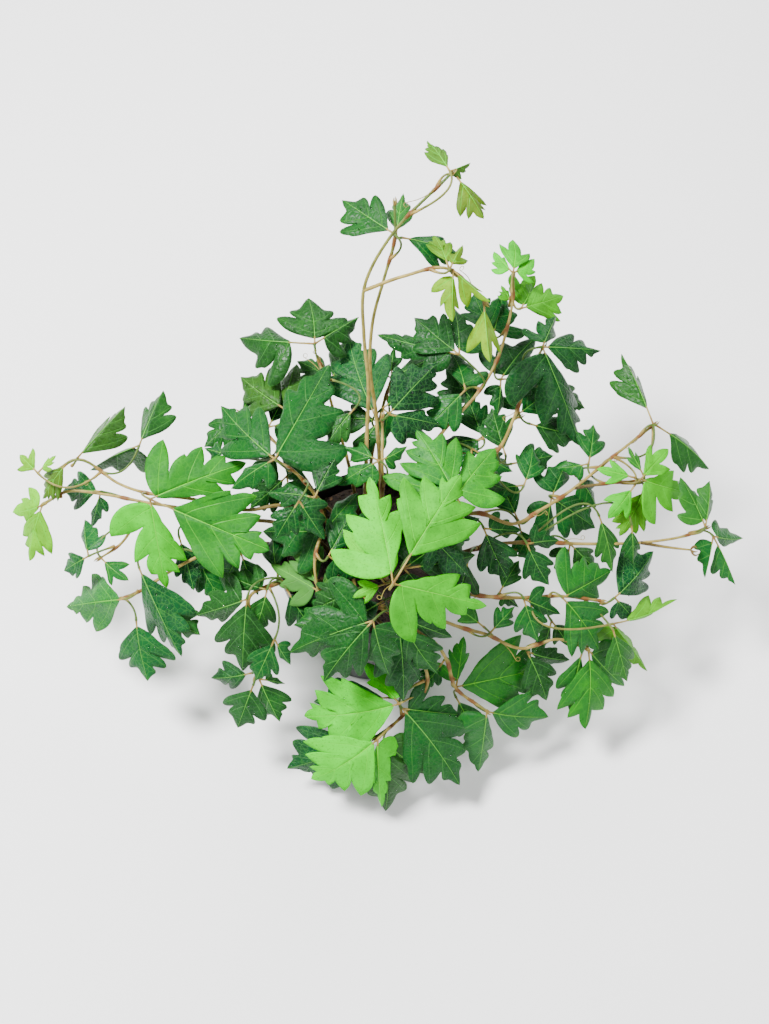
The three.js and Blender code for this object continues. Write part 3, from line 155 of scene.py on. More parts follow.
# ---- The leafy stems ----
# hole: where the stem stands in the peat. route: the stem's way, [across, up, rise over the mound].
# branch: the way of its side shoot. wood: how brown its foot is. withered: the shoots whose tips
# have dried up, 0 for the stem and 1 for its side shoot.
# A leaf gives, in this order:
#   its tone, from 0, new and lime, to 1, old and dark
#   its joint: across, up and the rise that clears the other leaves, as in the part
#   the ring of its stem that its petiole leaves from, or the place half way to the next
#   its end leaflet and up to two side ones: the tip across and up, the breadth, the bare stalk
# and by name, where it isn't as usual:
#   shoot: 1 where the side shoot bears it
#   sag: its petiole's. behind: how far its petiole reaches behind the joint, in parts of its length
#   cast: below 0 it stands full of dew and leans to blue-green, a painted sheen, and above 0 it
#       leans to olive
#   folded: how far its halves turn down about their midribs, in degrees
#   shades: by how much the tones of its end, left and right leaflets differ
#   bays: its bays are cut deeper, and this is how wide is left of them
#   turned: it shows its underside
LEAFY_STEMS = [
    dict(name="left_long", hole=(-31, 13), route=[
        (-38, 24, -26), (-58, 29, -14), (-80, 26, -4), (-115, 33, -2), (-145, 37, 0), (-163, 43, 0),
        (-189, 59, 0), (-204, 52, 0),
    ], leaves=[
        leaf(0.27, (-143, 33, 19.4), 8, (-67, 0), (-83, 60), (-133, -27), cast=0,
             shades=(0.1, 0.1, -0.12), bays=0.75),
        leaf(0.8, (-150, 68, 1.4), 9.5, (-136, 104, 1.05, 0.05), (-185, 55, 1, 0.1), behind=0.8,
             folded=44),
        leaf(0.72, (-190, 60, 6), 10.5, (-161, 93, 1, 0.05), cast=0.5, folded=36),
        leaf(0.5, (-197, 56, 9.4), 9.5, (-216, 35, 0.9), cast=0.8, folded=30),
        leaf(0.12, (-216, 50, 5.3), 9.5, (-229, 64), (-205, 62), behind=0.8, cast=0.6),
    ]),
    dict(name="left_middle", hole=(-26, -2), route=[
        (-36, 8, -38), (-62, 18, -24), (-92, 20, -16), (-122, 27, -12), (-146, 31, -8),
        (-172, 36, -6), (-197, 38, -4), (-210, 31, -2),
    ], branch=[
        (-146, 31, -8), (-154, 16, -8), (-162, 4, -8), (-175, -5, -6),
    ], leaves=[
        leaf(0.85, (-175, 38, -8.8), 8.5, (-201, 41), (-181, 13, 0.7), cast=-0.5),
        leaf(0.12, (-213, 29, 0), 10.5, (-226, -6), (-234, 21), sag=5, cast=0.5, folded=35),
        leaf(0.75, (-183, -4, 2), 1.5, (-201, -14), (-188, 21, 1.1), shoot=1, cast=-0.6),
        leaf(0.5, (-175, -5, 0), 0.5, (-159, -21, 1.1, 0.04), shoot=1, cast=-0.3),
    ]),
    dict(name="left_low", hole=(-37, -7), route=[
        (-52, 2, -36), (-80, 4, -22), (-106, -2, -12), (-130, -14, -8), (-148, -26, -6),
        (-160, -31, -4),
    ], leaves=[
        leaf(0.5, (-160, -32, 4), 7.5, (-203, -36, 1, 0.03), cast=-0.8, folded=30),
        leaf(0.8, (-152, -46, 2), 8, (-148, -85, 1.35, 0.03), cast=-0.6, folded=34, bays=0.7),
        leaf(0.85, (-150, -12, 2), 5, (-125, -70, 0.85, 0.03), cast=-0.7, bays=0.5),
        leaf(0.75, (-112, -4, -22), 5, (-100, -34, 1.1)),
        leaf(0.9, (-124, 8, -14.3), 4, (-113, -25, 0.9), cast=-0.9),
        leaf(0.7, (-84, -2, -11.9), 4, (-74, -30), (-100, -26, 1.2)),
        leaf(0.8, (-136, -40, -12), 7, (-112, -56, 1.2)),
    ]),
    dict(name="upper_left", hole=(-21, 24), route=[
        (-34, 34, -24), (-48, 50, -8), (-62, 59, -2),
    ], leaves=[
        leaf(0.8, (-62, 59, 15), 4.5, (-102, 92, 1, 0.06), (-92, 43, 1, 0.04), (-26, 121, 1, 0.04),
             cast=0),
        leaf(0.9, (-54, 48, -20.1), 4.5, (-78, 26), (-50, 12), bays=0.7),
        leaf(0.75, (-56, 92, -14), 5, (-86, 111, 1.2), (-50, 124, 1.1), cast=0.5),
        leaf(0.8, (-92, 62, -12), 5, (-108, 66, 1.2)),
        leaf(0.9, (-46, 32, 15.1), 4, (-62, 8, 1.1), (-30, 6, 1.1)),
    ]),
    dict(name="top_left", hole=(-9, 33), route=[
        (-14, 56, -24), (-22, 84, -16), (-28, 106, -8), (-33, 122, -4),
    ], leaves=[
        leaf(0.9, (-36, 134, 6), 7, (-36, 164, 1.8, 0.12), (-88, 137, 1.55, 0.3),
             (-8, 152, 1.1, 0.2), cast=0.2),
        leaf(0.85, (-25, 110, -32), 7, (-46, 126), (-14, 140, 1.1), sag=5),
        leaf(0.8, (-10, 92, 2), 6.5, (-30, 70)),
    ]),
    dict(name="tall", hole=(-5, 18), wood=0.55, route=[
        (-3, 42, -20), (-2, 76, 0), (-1, 108, 36), (-4, 140, 66), (-3.4, 172, 90), (15, 206, 108),
        (52, 244, 124),
    ], branch=[
        (-3.4, 172, 90), (22, 178, 94), (50, 183, 96), (74, 162, 84),
    ], leaves=[
        leaf(0.4, (52, 246, 127.3), 12.5, (38, 269, 0.5, 0.1), (66, 252, 0.8), cast=0.6, folded=58),
        leaf(0.42, (56, 243, 122), 13.5, (75, 218, 1, 0.03), sag=5, behind=0.8, cast=1.0,
             folded=28),
        leaf(0.3, (51, 184, 92.5), 3, (43, 207, 0.8), shoot=1, cast=0.7),
        leaf(0.3, (52, 183, 100.6), 2, (60, 200), shoot=1, cast=0.9, folded=40),
        leaf(0.25, (54, 182, 98), 2, (77, 161, 1.1, 0.04), (53, 150, 1.1), shoot=1, sag=9,
             behind=0.8, cast=0.9, folded=48),
        leaf(0.18, (74, 160, 82), 3.5, (77, 123, 1.25, 0.04), shoot=1, cast=1.0, folded=52),
    ]),
    dict(name="tall_second", hole=(8, 27), wood=0.6, route=[
        (6, 60, -22), (4, 88, -2), (0, 118, 34), (2, 150, 66), (9, 176, 82), (16, 202, 94),
        (16, 224, 100),
    ], leaves=[
        leaf(0.6, (17, 205, 91.1), 10.5, (21, 234, 0.6)),
        leaf(0.75, (15, 206, 99.8), 10.5, (-20, 228, 1.1, 0.05), behind=0.8),
        leaf(0.8, (21, 203, 83.5), 11, (60, 196, 0.95, 0.04)),
    ]),
    dict(name="upper_right", hole=(19, 27), route=[
        (30, 54, -30), (50, 80, -18), (70, 102, -8), (82, 122, -4), (89, 144, -2), (93, 164, 0),
        (93, 177, 2),
    ], leaves=[
        leaf(0.12, (93, 180, 4), 9.5, (97, 204, 0.8, 0.1), (79, 194), (109, 188)),
        leaf(0.22, (92, 160, -12.8), 9.5, (106, 181), (86, 172)),
        leaf(0.3, (98, 157, -1.8), 9.5, (129, 165, 1, 0.03), (109, 174)),
        leaf(0.85, (85, 111, -6.6), 7.5, (113, 112, 1, 0.06), (104, 141), (84, 86)),
        leaf(0.9, (58, 127, 4), 6.5, (28, 150, 1.2, 0.06), (2, 138, 0.6, 0.1), (58, 162),
             behind=1.2),
        leaf(0.8, (80, 140, -10.8), 8.5, (66, 166, 1.2), (88, 168, 1.1)),
        leaf(0.7, (62, 104, -3.8), 6.5, (38, 80, 1.2), (56, 132, 1.1)),
    ]),
    dict(name="right_upper", hole=(30, 17), route=[
        (48, 38, -28), (70, 54, -10), (84, 66, -2), (92, 82, -2), (98, 98, -2), (105, 118, -2),
        (112, 131, 0),
    ], leaves=[
        leaf(0.9, (112, 132, 18.9), 8, (150, 131, 0.85, 0.06), (122, 155), (139, 68, 1.05, 0.04),
             sag=5, behind=0.8, bays=0.4),
        leaf(0.36, (56, 35, 15.7), 2, (33, 80, 1, 0.06), (7, 48), (82, 70, 1.1), cast=-0.35),
        leaf(0.8, (104, 82, -8), 7, (138, 72)),
        leaf(0.85, (88, 62, -10.6), 5, (78, 92, 1.1)),
        leaf(0.75, (100, 42, -13.3), 5, (109, 66, 1.2), (78, 40, 1.2)),
        leaf(0.8, (116, 106, -14), 7, (142, 96), sag=9),
        leaf(0.85, (92, 56, -16.7), 5.5, (120, 62, 1.1)),
        leaf(0.9, (64, 50, -18), 3.5, (88, 38, 1.2)),
    ]),
    dict(name="upper_middle", hole=(9, 9), route=[
        (8, 34, -22), (8, 62, -8), (8, 86, -2),
    ], leaves=[
        leaf(0.85, (3, 88, -15.3), 6, (-20, 137, 1, 0.04), cast=-0.5),
        leaf(0.95, (12, 88, 8), 6, (44, 124, 1, 0.04), (48, 82), behind=0.8, cast=-0.9),
        leaf(0.7, (6, 58, 0), 4, (-16, 68), (-22, 44), (26, 66)),
    ]),
    dict(name="right_long", hole=(37, 4), route=[
        (50, 18, -26), (70, 24, -12), (93, 17, -4), (111, 26, 0), (131, 39, 0), (157, 60, 0),
        (184, 81, 0),
    ], branch=[
        (131, 39, 0), (152, 43, 2), (173, 45, 4),
    ], leaves=[
        leaf(0.7, (184, 82, 4), 8.5, (166, 128, 0.95, 0.22), sag=9, behind=0.8, folded=48),
        leaf(0.65, (186, 81, 3.6), 9.5, (224, 57, 0.75, 0.22), folded=52),
        leaf(0.08, (176, 46, 10), 1.5, (194, 67, 0.85, 0.1), (211, 34), shoot=1),
        leaf(0.12, (172, 47, 12), 10, (149, 53, 0.9), sag=14),
        leaf(0.15, (172, 42, 7.4), 8.5, (157, 20, 1, 0.04)),
        leaf(0.3, (178, 40, -2), 2, (166, 8, 1.1), shoot=1, cast=0.4),
        leaf(0.5, (178, 48, 6.3), 1.5, (168, 67, 0.6), shoot=1),
        leaf(0.7, (142, 56, -4), 1, (147, 82, 1.1), (122, 52, 1.2), shoot=1),
        leaf(0.85, (118, 34, -12.3), 6.5, (148, 14, 1.25, 0.06), (128, 60, 1.2, 0.04), (112, 2)),
        leaf(0.8, (96, 20, -18), 5.5, (84, 46, 1.15)),
        leaf(0.75, (97, 16, -19.7), 4, (104, -8, 1.2), sag=5),
        leaf(0.85, (134, 48, -12.9), 8, (150, 30, 1.2)),
    ]),
    dict(name="right_far", hole=(39, -8), withered=[1], route=[
        (58, -2, -34), (84, 4, -20), (110, 5, -10), (140, 4, -6), (178, 5, -2), (204, 9, 0),
        (217, 14, 0),
    ], branch=[
        (178, 5, -2), (192, 2, 0), (209, 0, 2),
    ], leaves=[
        leaf(0.6, (218, 15, 4), 9.5, (223, 45), (204, 48), folded=40),
        leaf(0.7, (223, 9, 2), 9.5, (239, -21), (243, 4), (219, -18), folded=50),
        leaf(0.7, (149, 22, 2.4), 4.5, (161, -12, 0.7, 0.04)),
        leaf(0.75, (170, 16, 3.2), 4.5, (172, -9, 0.9, 0.04)),
        leaf(0.8, (130, 4, -10.7), 5, (148, -14), (126, -22), behind=0.8),
        leaf(0.85, (102, 4, -0.5), 3, (114, -24), (124, 8)),
        leaf(0.9, (74, 14, -11), 2, (87, -20), (100, 12)),
        leaf(0.9, (64, -6, -11.5), 3, (56, -38, 1.1)),
        leaf(0.85, (94, 0, -23.7), 5.5, (70, -6, 1.1), sag=14, behind=0.8),
    ]),
    dict(name="right_front", hole=(29, -20), route=[
        (46, -25, -20), (74, -30, -10), (100, -31, -8), (124, -30, -4), (150, -33, 0),
    ], leaves=[
        leaf(0.92, (159, -31, -1.7), 7, (189, -4, 1.1), (173, -46), behind=1.2, cast=-0.9),
        leaf(0.25, (158, -48, 4), 5, (202, -38, 0.65, 0.2), (182, -78), behind=1.2, cast=0.4,
             folded=50),
        leaf(0.55, (158, -52, 8.3), 6.5, (168, -87, 0.75, 0.1), sag=14),
        leaf(0.5, (125, -31, 7), 5.5, (154, -62, 1.05, 0.03), (159, -13, 1.3), behind=0.8),
        leaf(0.75, (100, -32, 2), 4, (108, -60), (124, -42)),
        leaf(0.8, (84, -28, -10.7), 3.5, (96, -6), (98, -36)),
        leaf(0.85, (118, -46, -11.9), 5.5, (130, -62), (112, -68)),
    ]),
    dict(name="front_right", hole=(19, -33), route=[
        (38, -42, -4), (58, -50, -2), (76, -55, -4), (98, -64, -6), (122, -58, -2), (140, -64, 0),
    ], leaves=[
        leaf(0.45, (142, -65, -2), 7.5, (147, -116, 0.95, 0.12), (165, -92, 0.8, 0.04)),
        leaf(0.6, (138, -66, -8), 7.5, (127, -106, 0.65)),
        leaf(0.8, (102, -66, -9.3), 6.5, (118, -98, 0.9), (130, -76, 0.8)),
        leaf(0.75, (78, -54, 0), 4, (94, -36), bays=0.6),
        leaf(0.7, (74, -50, -2), 5, (56, -36, 1.1), sag=5),
    ]),
    dict(name="front_hanging", hole=(6, -38), route=[
        (22, -47, 2), (42, -60, 2), (50, -72, 0), (56, -90, -2), (75, -104, 0),
    ], leaves=[
        leaf(0.45, (56, -89, -5.3), 5.5, (120, -76, 0.85, 0.02), (61, -56, 1, 0.03), cast=-0.1),
        leaf(0.65, (76, -105, -3), 6.5, (114, -113, 1, 0.03), (71, -148, 0.75, 0.04)),
        leaf(0.7, (56, -96, -14.7), 6, (76, -131, 0.8, 0.05), folded=40),
        leaf(0.8, (48, -72, -12.4), 5, (34, -92)),
    ]),
    dict(name="front_low", hole=(-6, -39), route=[
        (10, -50, 4), (30, -66, 4), (37, -88, -2), (22, -107, 0), (5, -122, 2),
    ], leaves=[
        leaf(0.02, (19, -100, 12), 6, (-40, -116, 1.1, 0.02), (-4, -73, 1, 0.04), sag=9),
        leaf(0.0, (5, -123, 17.8), 7.5, (-35, -157, 1.15, 0.02), (5, -170, 0.7, 0.03), folded=36),
        leaf(0.8, (21, -103, 8), 5.5, (64, -149, 0.95, 0.02), (60, -108, 1, 0.03), bays=0.7),
        leaf(0.92, (2, -122, -4), 7.5, (-52, -148, 1.05, 0.1), cast=-0.7),
        leaf(0.75, (9, -124, 6.1), 7.5, (16, -172, 0.95, 0.14), (35, -148, 0.7), cast=0.3),
        leaf(0.85, (12, -96, -8), 7, (-36, -98, 0.8)),
    ]),
    dict(name="centre", hole=(4, -12), route=[
        (8, -16, -22), (12, -20, 2), (15, -22, 24),
    ], leaves=[
        leaf(0.18, (15, -22, 34), 5, (58, 49, 1.1, 0.26), (4, 47, 1.05, 0.1), (77, -36, 1, 0.04),
             behind=0.8, cast=0.05, shades=(0.02, -0.12, 0.0), bays=0.6),
        leaf(0.04, (10, -22, 21.1), 4, (-12, -29), (-18, 12), sag=5, behind=0.8),
        leaf(0.85, (22, -12, 6), 4.5, (70, -6), (66, 20), (42, -34)),
        leaf(0.95, (40, 8, 12.4), 5, (70, 24), (66, -18), cast=-0.6),
        leaf(1.0, (8, -6, -13.4), 3.5, (-16, 24, 1.1), (30, 30, 1.1)),
    ]),
    dict(name="front_middle", hole=(-11, -18), route=[
        (-8, -28, -24), (4, -36, -6), (14, -42, 2),
    ], leaves=[
        leaf(0.85, (9, -33, 10), 4, (-50, -66, 1, 0.03), sag=5, behind=0.8),
        leaf(0.8, (-4, -42, 3.7), 3.5, (-48, -54, 0.9)),
        leaf(0.9, (18, -45, 8), 3.5, (26, -100, 0.85, 0.02)),
        leaf(0.8, (2, -46, 28.9), 4, (-34, -83, 1, 0.05), (10, -84), (-54, -62, 1.2)),
        leaf(0.85, (20, -44, 12.9), 4, (40, -84, 0.9, 0.2), (54, -58, 0.8), behind=0.8),
        leaf(0.9, (-10, -26, 11.9), 4, (-38, -40, 1.2)),
    ]),
    dict(name="front_left", hole=(-29, -22), route=[
        (-42, -20, -30), (-60, -22, -14), (-78, -30, -4), (-76, -48, -4), (-70, -66, -2),
        (-74, -82, 0),
    ], leaves=[
        leaf(0.85, (-80, -32, 6), 2, (-85, -80, 1.05, 0.03), (-114, -44, 1.1, 0.04)),
        leaf(0.8, (-62, -58, 11), 3, (-75, -86, 1, 0.04), (-53, -75, 1, 0.04)),
        leaf(0.75, (-72, -84, 1.6), 5.5, (-60, -112, 1.15, 0.05), (-55, -86, 0.8)),
        leaf(0.8, (-76, -88, 6), 5.5, (-87, -117, 1.2, 0.05)),
        leaf(0.85, (-77, -80, 0), 5.5, (-104, -86, 1, 0.04)),
        leaf(0.8, (-67, -26, -2.3), 2.5, (-74, -56), (-94, -18, 1.1), behind=0.8),
        leaf(0.9, (-54, -26, -6.3), 3, (-38, -54, 1.2), sag=9, behind=0.8, bays=0.6),
        leaf(0.9, (-60, -16, -15.9), 3, (-66, 10, 1.1), bays=0.6),
    ]),
    dict(name="middle_left", hole=(-18, 6), route=[
        (-24, 10, -24), (-32, 8, -8), (-36, -8, -2), (-34, -26, 0),
    ], branch=[
        (-24, 10, -24), (-30, 22, -10), (-35, 33, 2),
    ], leaves=[
        leaf(0.5, (-33, -27, -2.8), 1.5, (-47, 6), (-64, -8), (-24, -12), turned=True),
        leaf(0.8, (-30, 12, -9.6), 3, (-50, 34, 1.1, 0.06), (-71, 12, 1.3), (-8, 38, 1.1),
             behind=0.8),
        leaf(0.9, (-36, 34, 6), 1.5, (-24, 60, 1.1), (-66, 40, 1.1), shoot=1, behind=0.8),
        leaf(0.9, (-27, -4, 0.8), 4, (-12, 24, 1.1), (-2, -20, 1.1), behind=0.8),
    ]),
    dict(name="back_left", hole=(-30, 30), route=[
        (-46, 52, -50), (-66, 74, -44), (-84, 88, -36),
    ], leaves=[
        leaf(0.8, (-84, 88, -26), 4.5, (-108, 68), (-74, 108), behind=0.8),
        leaf(0.85, (-60, 66, -34), 3.5, (-76, 40), (-42, 40), behind=0.8),
        leaf(0.9, (-66, 80, -30), 4, (-50, 110), (-34, 86), behind=0.8),
    ]),
    dict(name="back_middle", hole=(-2, 42), route=[
        (2, 66, -48), (8, 92, -38), (14, 112, -30),
    ], leaves=[
        leaf(0.85, (14, 112, -33.3), 4.5, (14, 132), (-14, 122), (46, 128)),
        leaf(0.8, (6, 84, -34), 4.5, (-24, 88), (-14, 58)),
        leaf(0.75, (8, 92, -23.9), 3.5, (34, 110), (38, 70), sag=5, behind=0.8),
    ]),
    dict(name="back_right", hole=(30, 31), route=[
        (52, 54, -46), (74, 74, -38), (96, 86, -30),
    ], leaves=[
        leaf(0.8, (96, 88, -22), 5.5, (124, 108), (98, 116)),
        leaf(0.85, (74, 72, -29.8), 4, (62, 100), (44, 70)),
        leaf(0.8, (66, 66, -34), 2.5, (92, 50), (66, 36), behind=0.8),
        leaf(0.9, (70, 92, -31.3), 5, (50, 120, 1.2)),
    ]),
]


# ---- Layout: board, leaves and stems in space ----

def draw(number, purpose):
    """A repeatable draw from -1 to 1: the same number draws anew for each purpose."""
    wave = math.sin(number * DRAW_TURNS[0] + purpose * DRAW_TURNS[1]) * DRAW_STRETCH
    return 2 * (wave - math.floor(wave)) - 1


def unit(vector):
    return vector / np.linalg.norm(vector)


def on_board(across, up):
    return BOARD_CENTRE + across * ACROSS + up * UP


def risen(across, up, rise):
    """The place so far over the mound, which the eye sees at these numbers of the board."""
    a = (across - MOUND_CENTRE[0]) / MOUND_REACH[0]
    b = (up - MOUND_CENTRE[1]) / MOUND_REACH[1]
    out = MOUND_HEIGHT * math.exp(-a * a - b * b) + rise
    return EYE + (on_board(across, up) - EYE) * (1 - out / EYE_DISTANCE)


def seen(point):
    """Across and up of a point, as the eye sees it against the board."""
    sight = point - EYE
    hit = EYE + sight * (EYE_DISTANCE / -(sight @ OUT)) - BOARD_CENTRE
    return hit @ ACROSS, hit @ UP


def side_kind(joint, end, tip):
    """Which side of the end leaflet a side leaflet lies on: 1 left, 2 right."""
    turn = (end[0] - joint[0]) * (tip[1] - joint[1]) - (end[1] - joint[1]) * (tip[0] - joint[0])
    return 1 if turn > 0 else 2


class Leaflet:
    """One blade: its base, its three directions, its length and how it bends."""

    def __init__(self, leaf, kind, across, up, breadth=1, stalk=SIDE_LEAFLET_STALK):
        self.kind = kind
        self.breadth = breadth
        start = seen(leaf.joint)
        heading = unit(ACROSS * (across - start[0]) + UP * (up - start[1]))
        lean = SIDE_LEAFLET_LEAN if kind else END_LEAFLET_LEAN
        self.normal = unit(leaf.normal + lean * heading)
        sight = on_board(across, up) - EYE
        reach = (leaf.joint - EYE) @ self.normal / (sight @ self.normal)
        span = EYE + sight * reach - leaf.joint
        whole = np.linalg.norm(span)
        bare = max(stalk * whole, SHORTEST_STALK)
        self.length = whole - bare
        self.forward = span / whole
        self.base = leaf.joint + self.forward * bare
        self.side = np.cross(self.normal, self.forward)
        self.droop = DROOP[0] + DROOP[1] * draw(leaf.number, FOR_DROOP + kind)
        self.cup = CUPPED[kind][0] + CUPPED[kind][1] * draw(leaf.number, FOR_CUP + kind)
        self.ripple = RIPPLE * draw(leaf.number, FOR_RIPPLE + kind)
        self.twist = TWISTS[kind]
        self.tag = leaf.number * 3 + kind

    def points(self, along, side, lift):
        """Places on the bent blade, lifted off it along its normal."""
        away = np.sign(side) * np.minimum(1, np.abs(side) / MIDRIB_REACH)
        height = (self.cup * np.abs(side) + self.twist * side - self.droop * along * along
                  + self.ripple * np.sin(RIPPLE_TURNS * along) * away) * self.length + lift
        ways = ((along * self.length, self.forward), (side * self.length, self.side),
                (height, self.normal))
        return self.base + sum(np.multiply.outer(reach, way) for reach, way in ways)


class Leaf:
    """A leaf with its joint, its leaflets and its petiole."""

    def __init__(self, stem, number, tone, joint, ring, *tips, shoot=0, sag=USUAL_SAG,
                 behind=USUAL_BEHIND, cast=None, folded=0, shades=(0, 0, 0), bays=1, turned=False):
        self.number, self.tone, self.shades, self.bays = number, tone, shades, bays
        self.cast = USUAL_CAST * draw(number, FOR_CAST) if cast is None else cast
        self.folded = math.radians(folded)
        self.turned = turned
        self.joint = risen(*joint)
        lean_across = joint[0] / OUTWARD_LEAN + LEAN_WOBBLE * draw(number, FOR_LEAN_ACROSS)
        lean_up = joint[1] / OUTWARD_LEAN + LEAN_WOBBLE * draw(number, FOR_LEAN_UP)
        self.normal = unit(OUT + ACROSS * lean_across + UP * lean_up)
        end = tips[0]
        if len(tips) > 2:
            # of three leaflets the end one stands on a longer stalk, unless it is given
            end = (*end, *(1, END_LEAFLET_STALK)[len(end) - 2:])
        self.leaflets = [Leaflet(self, 0, *end)]
        for tip in tips[1:]:
            self.leaflets.append(Leaflet(self, side_kind(joint, end, tip), *tip))
        start = stem.curves[shoot].ring(ring)
        reach = behind * np.linalg.norm(start - self.joint)
        bend = self.joint - reach * self.leaflets[0].forward - sag * self.normal
        self.petiole = (start, bend, self.joint)


class Curve:
    """A smooth way through points, with its places spaced evenly along it."""

    def __init__(self, points):
        self.points = np.array(points)
        self.parts = np.linspace(0, 1, CURVE_SAMPLES + 1)
        steps = np.linalg.norm(np.diff(self.at(self.parts), axis=0), axis=1)
        self.lengths = np.concatenate([[0], np.cumsum(steps)])
        self.length = self.lengths[-1]

    def at(self, parts):
        """Places on a centripetal Catmull-Rom curve, at parts of its way from point to point."""
        points = self.points
        last = len(points) - 1
        before = 2 * points[0] - points[1]
        after = 2 * points[-1] - points[-2]
        padded = np.vstack([before, points, after])
        place = np.asarray(parts) * last
        first = np.minimum(np.floor(place).astype(int), last - 1)
        weight = (place - first)[:, None]
        p = [padded[first + i] for i in range(4)]
        d = [np.sum((p[i + 1] - p[i]) ** 2, axis=1)[:, None] ** CENTRIPETAL for i in range(3)]
        slopes = [(p[i + 1] - p[i]) / d[i] - (p[i + 2] - p[i]) / (d[i] + d[i + 1])
                  + (p[i + 2] - p[i + 1]) / d[i + 1] for i in range(2)]
        leave, arrive = (slope * d[1] for slope in slopes)
        cubic = 2 * p[1] - 2 * p[2] + leave + arrive
        square = -3 * p[1] + 3 * p[2] - 2 * leave - arrive
        return p[1] + leave * weight + square * weight ** 2 + cubic * weight ** 3

    def spaced(self, pieces):
        targets = np.linspace(0, 1, pieces + 1) * self.length
        return self.at(np.interp(targets, self.lengths, self.parts))

    def rings(self):
        return self.spaced(max(2, math.floor(self.length / STEM_STEP + 0.5)))

    def ring(self, number):
        """A ring's middle, or the place half way between two rings."""
        rings = self.rings()
        return (rings[math.floor(number)] + rings[math.ceil(number)]) / 2


class Stem:
    """A leafy stem: its main curve, its side shoot and its leaves."""

    def __init__(self, index, name, hole, route, leaves, branch=(), wood=1, withered=()):
        self.name = name
        self.node = "leafy_stem_" + name
        self.wood, self.withered = wood, withered
        root = [(*hole, PEAT_TOP + height) for height in ROOT_HEIGHTS]
        main = Curve([*root, *(risen(*place) for place in route)])
        self.curves = [main]
        if branch:
            points = [risen(*place) for place in branch]
            rings = main.rings()
            points[0] = rings[np.argmin(np.linalg.norm(rings - points[0], axis=1))]
            self.curves.append(Curve(points))
        self.leaves = [Leaf(self, MOST_LEAVES * index + i, *places, **told)
                       for i, (places, told) in enumerate(leaves, 1)]


# ---- Blades ----

MARGIN_STEP = 2.4
MARGIN_WOBBLE = 0.018
BAY_WOBBLE = 0.3
BAY_DEPTH = 0.1
TOOTHLESS_ABOVE = 0.3
LOBELESS_ABOVE = -0.1
SMALLEST_BLADE = 20
SMALLEST_TENDER = 34
TENDER_BELOW = 0.27
ROUNDING = 2
ROUNDED_ABOVE = 0.5
FEWEST_ROWS = 4
VEIN_CURVE = 1.2
QUILTING = 0.006
QUILT_SHAPE = 0.7
PUCKER = 0.011
DEWY_PUCKER = 1.6
CRUMPLE = 0.3
RUFFLE = 0.018
RUFFLE_TURNS = 11
# Waves over a blade: how fast each turns along it and across it.
PUCKER_WAVES = ((9, 7), (-6, 13))
CRUMPLE_WAVES = ((23, 17), (-15, 29))
SMOOTH_MIDDLE = 0.125
YOUNG_CURL = 0.03
OLD_CURL = 0.07
CURL = (0.7, 0.8)
CURL_SHAPE = 2.5
DEWY_FLATNESS = 0.7
YOUNG_FOLD = math.radians(8)
OLD_FOLD = math.radians(24)
FOLD = (0.75, 0.6)
HOOK = 0.13
THIN_EDGE = 0.35
UV_SPAN = 100
UV_STEP = 0.37
UV_PLACES = 17
LEAFLET_TONES = 0.06
DRY_BELOW = 0.3
WETNESS_SPREAD = 0.8
DEW_WETNESS = 1.2


def margin_of(leaflet, leaf, hand):
    """One side's margin from base to tip, and which of its columns are veins."""
    name = "end"
    if leaflet.kind:
        name = "outer" if (leaflet.kind == 1) == (hand > 0) else "inner"
    tag = leaflet.tag * 2 + (hand > 0)
    tender = leaf.tone < TENDER_BELOW
    small = leaflet.length < (LARGE_BLADE if tender else SMALL_BLADE)
    left_out = set()
    if small or draw(tag, FOR_TEETH) > TOOTHLESS_ABOVE:
        left_out.update(LESSER_TEETH[name])
    if small or leaflet.length < LARGE_BLADE and draw(tag, FOR_LOBE) > LOBELESS_ABOVE:
        left_out.update(LESSER_LOBES[name])
    if leaflet.length < (SMALLEST_TENDER if tender else SMALLEST_BLADE):
        left_out.update(SECOND_LOBE[name])
    points = np.array([row for row in MARGINS[name] if row[3] not in left_out])
    points[:, 1] *= leaflet.breadth
    for i in range(2, len(points) - 1):
        points[i, 0] += MARGIN_WOBBLE * draw(tag, FOR_PLACE_ALONG + i)
        points[i, 1] += MARGIN_WOBBLE * draw(tag, FOR_PLACE_ASIDE + i)
        if points[i, 3] % 1 == 0.5:
            points[i, 1] *= leaf.bays * (1 + BAY_WOBBLE * draw(tag, FOR_BAY + i))
            points[i, 0] -= BAY_DEPTH * (1 - leaf.bays)
    samples = [points[0]]
    veins = []
    for start, end in zip(points, points[1:]):
        chord = end[:2] - start[:2]
        reach = np.hypot(*chord)
        count = max(2, round(reach * leaflet.length / MARGIN_STEP))
        outward = np.array((-chord[1], chord[0])) / reach
        for part in np.arange(1, count + 1) / count:
            place = start + (end - start) * part
            place[:2] += outward * end[4] * reach * 4 * part * (1 - part)
            samples.append(place)
        if end[3] % 1 == 0:
            veins.append(len(samples) - 1)
    samples = np.array(samples)
    for _ in range(ROUNDING if leaf.tone > ROUNDED_ABOVE else 0):
        softened = (samples[:-2] + 2 * samples[1:-1] + samples[2:]) / 4
        samples[1:-1, :2] = softened[:, :2]
    return samples, veins


def waves(along, side, speeds, starts):
    """The sum of some waves over a blade."""
    return sum(np.sin(a * along + b * side + start) for (a, b), start in zip(speeds, starts))


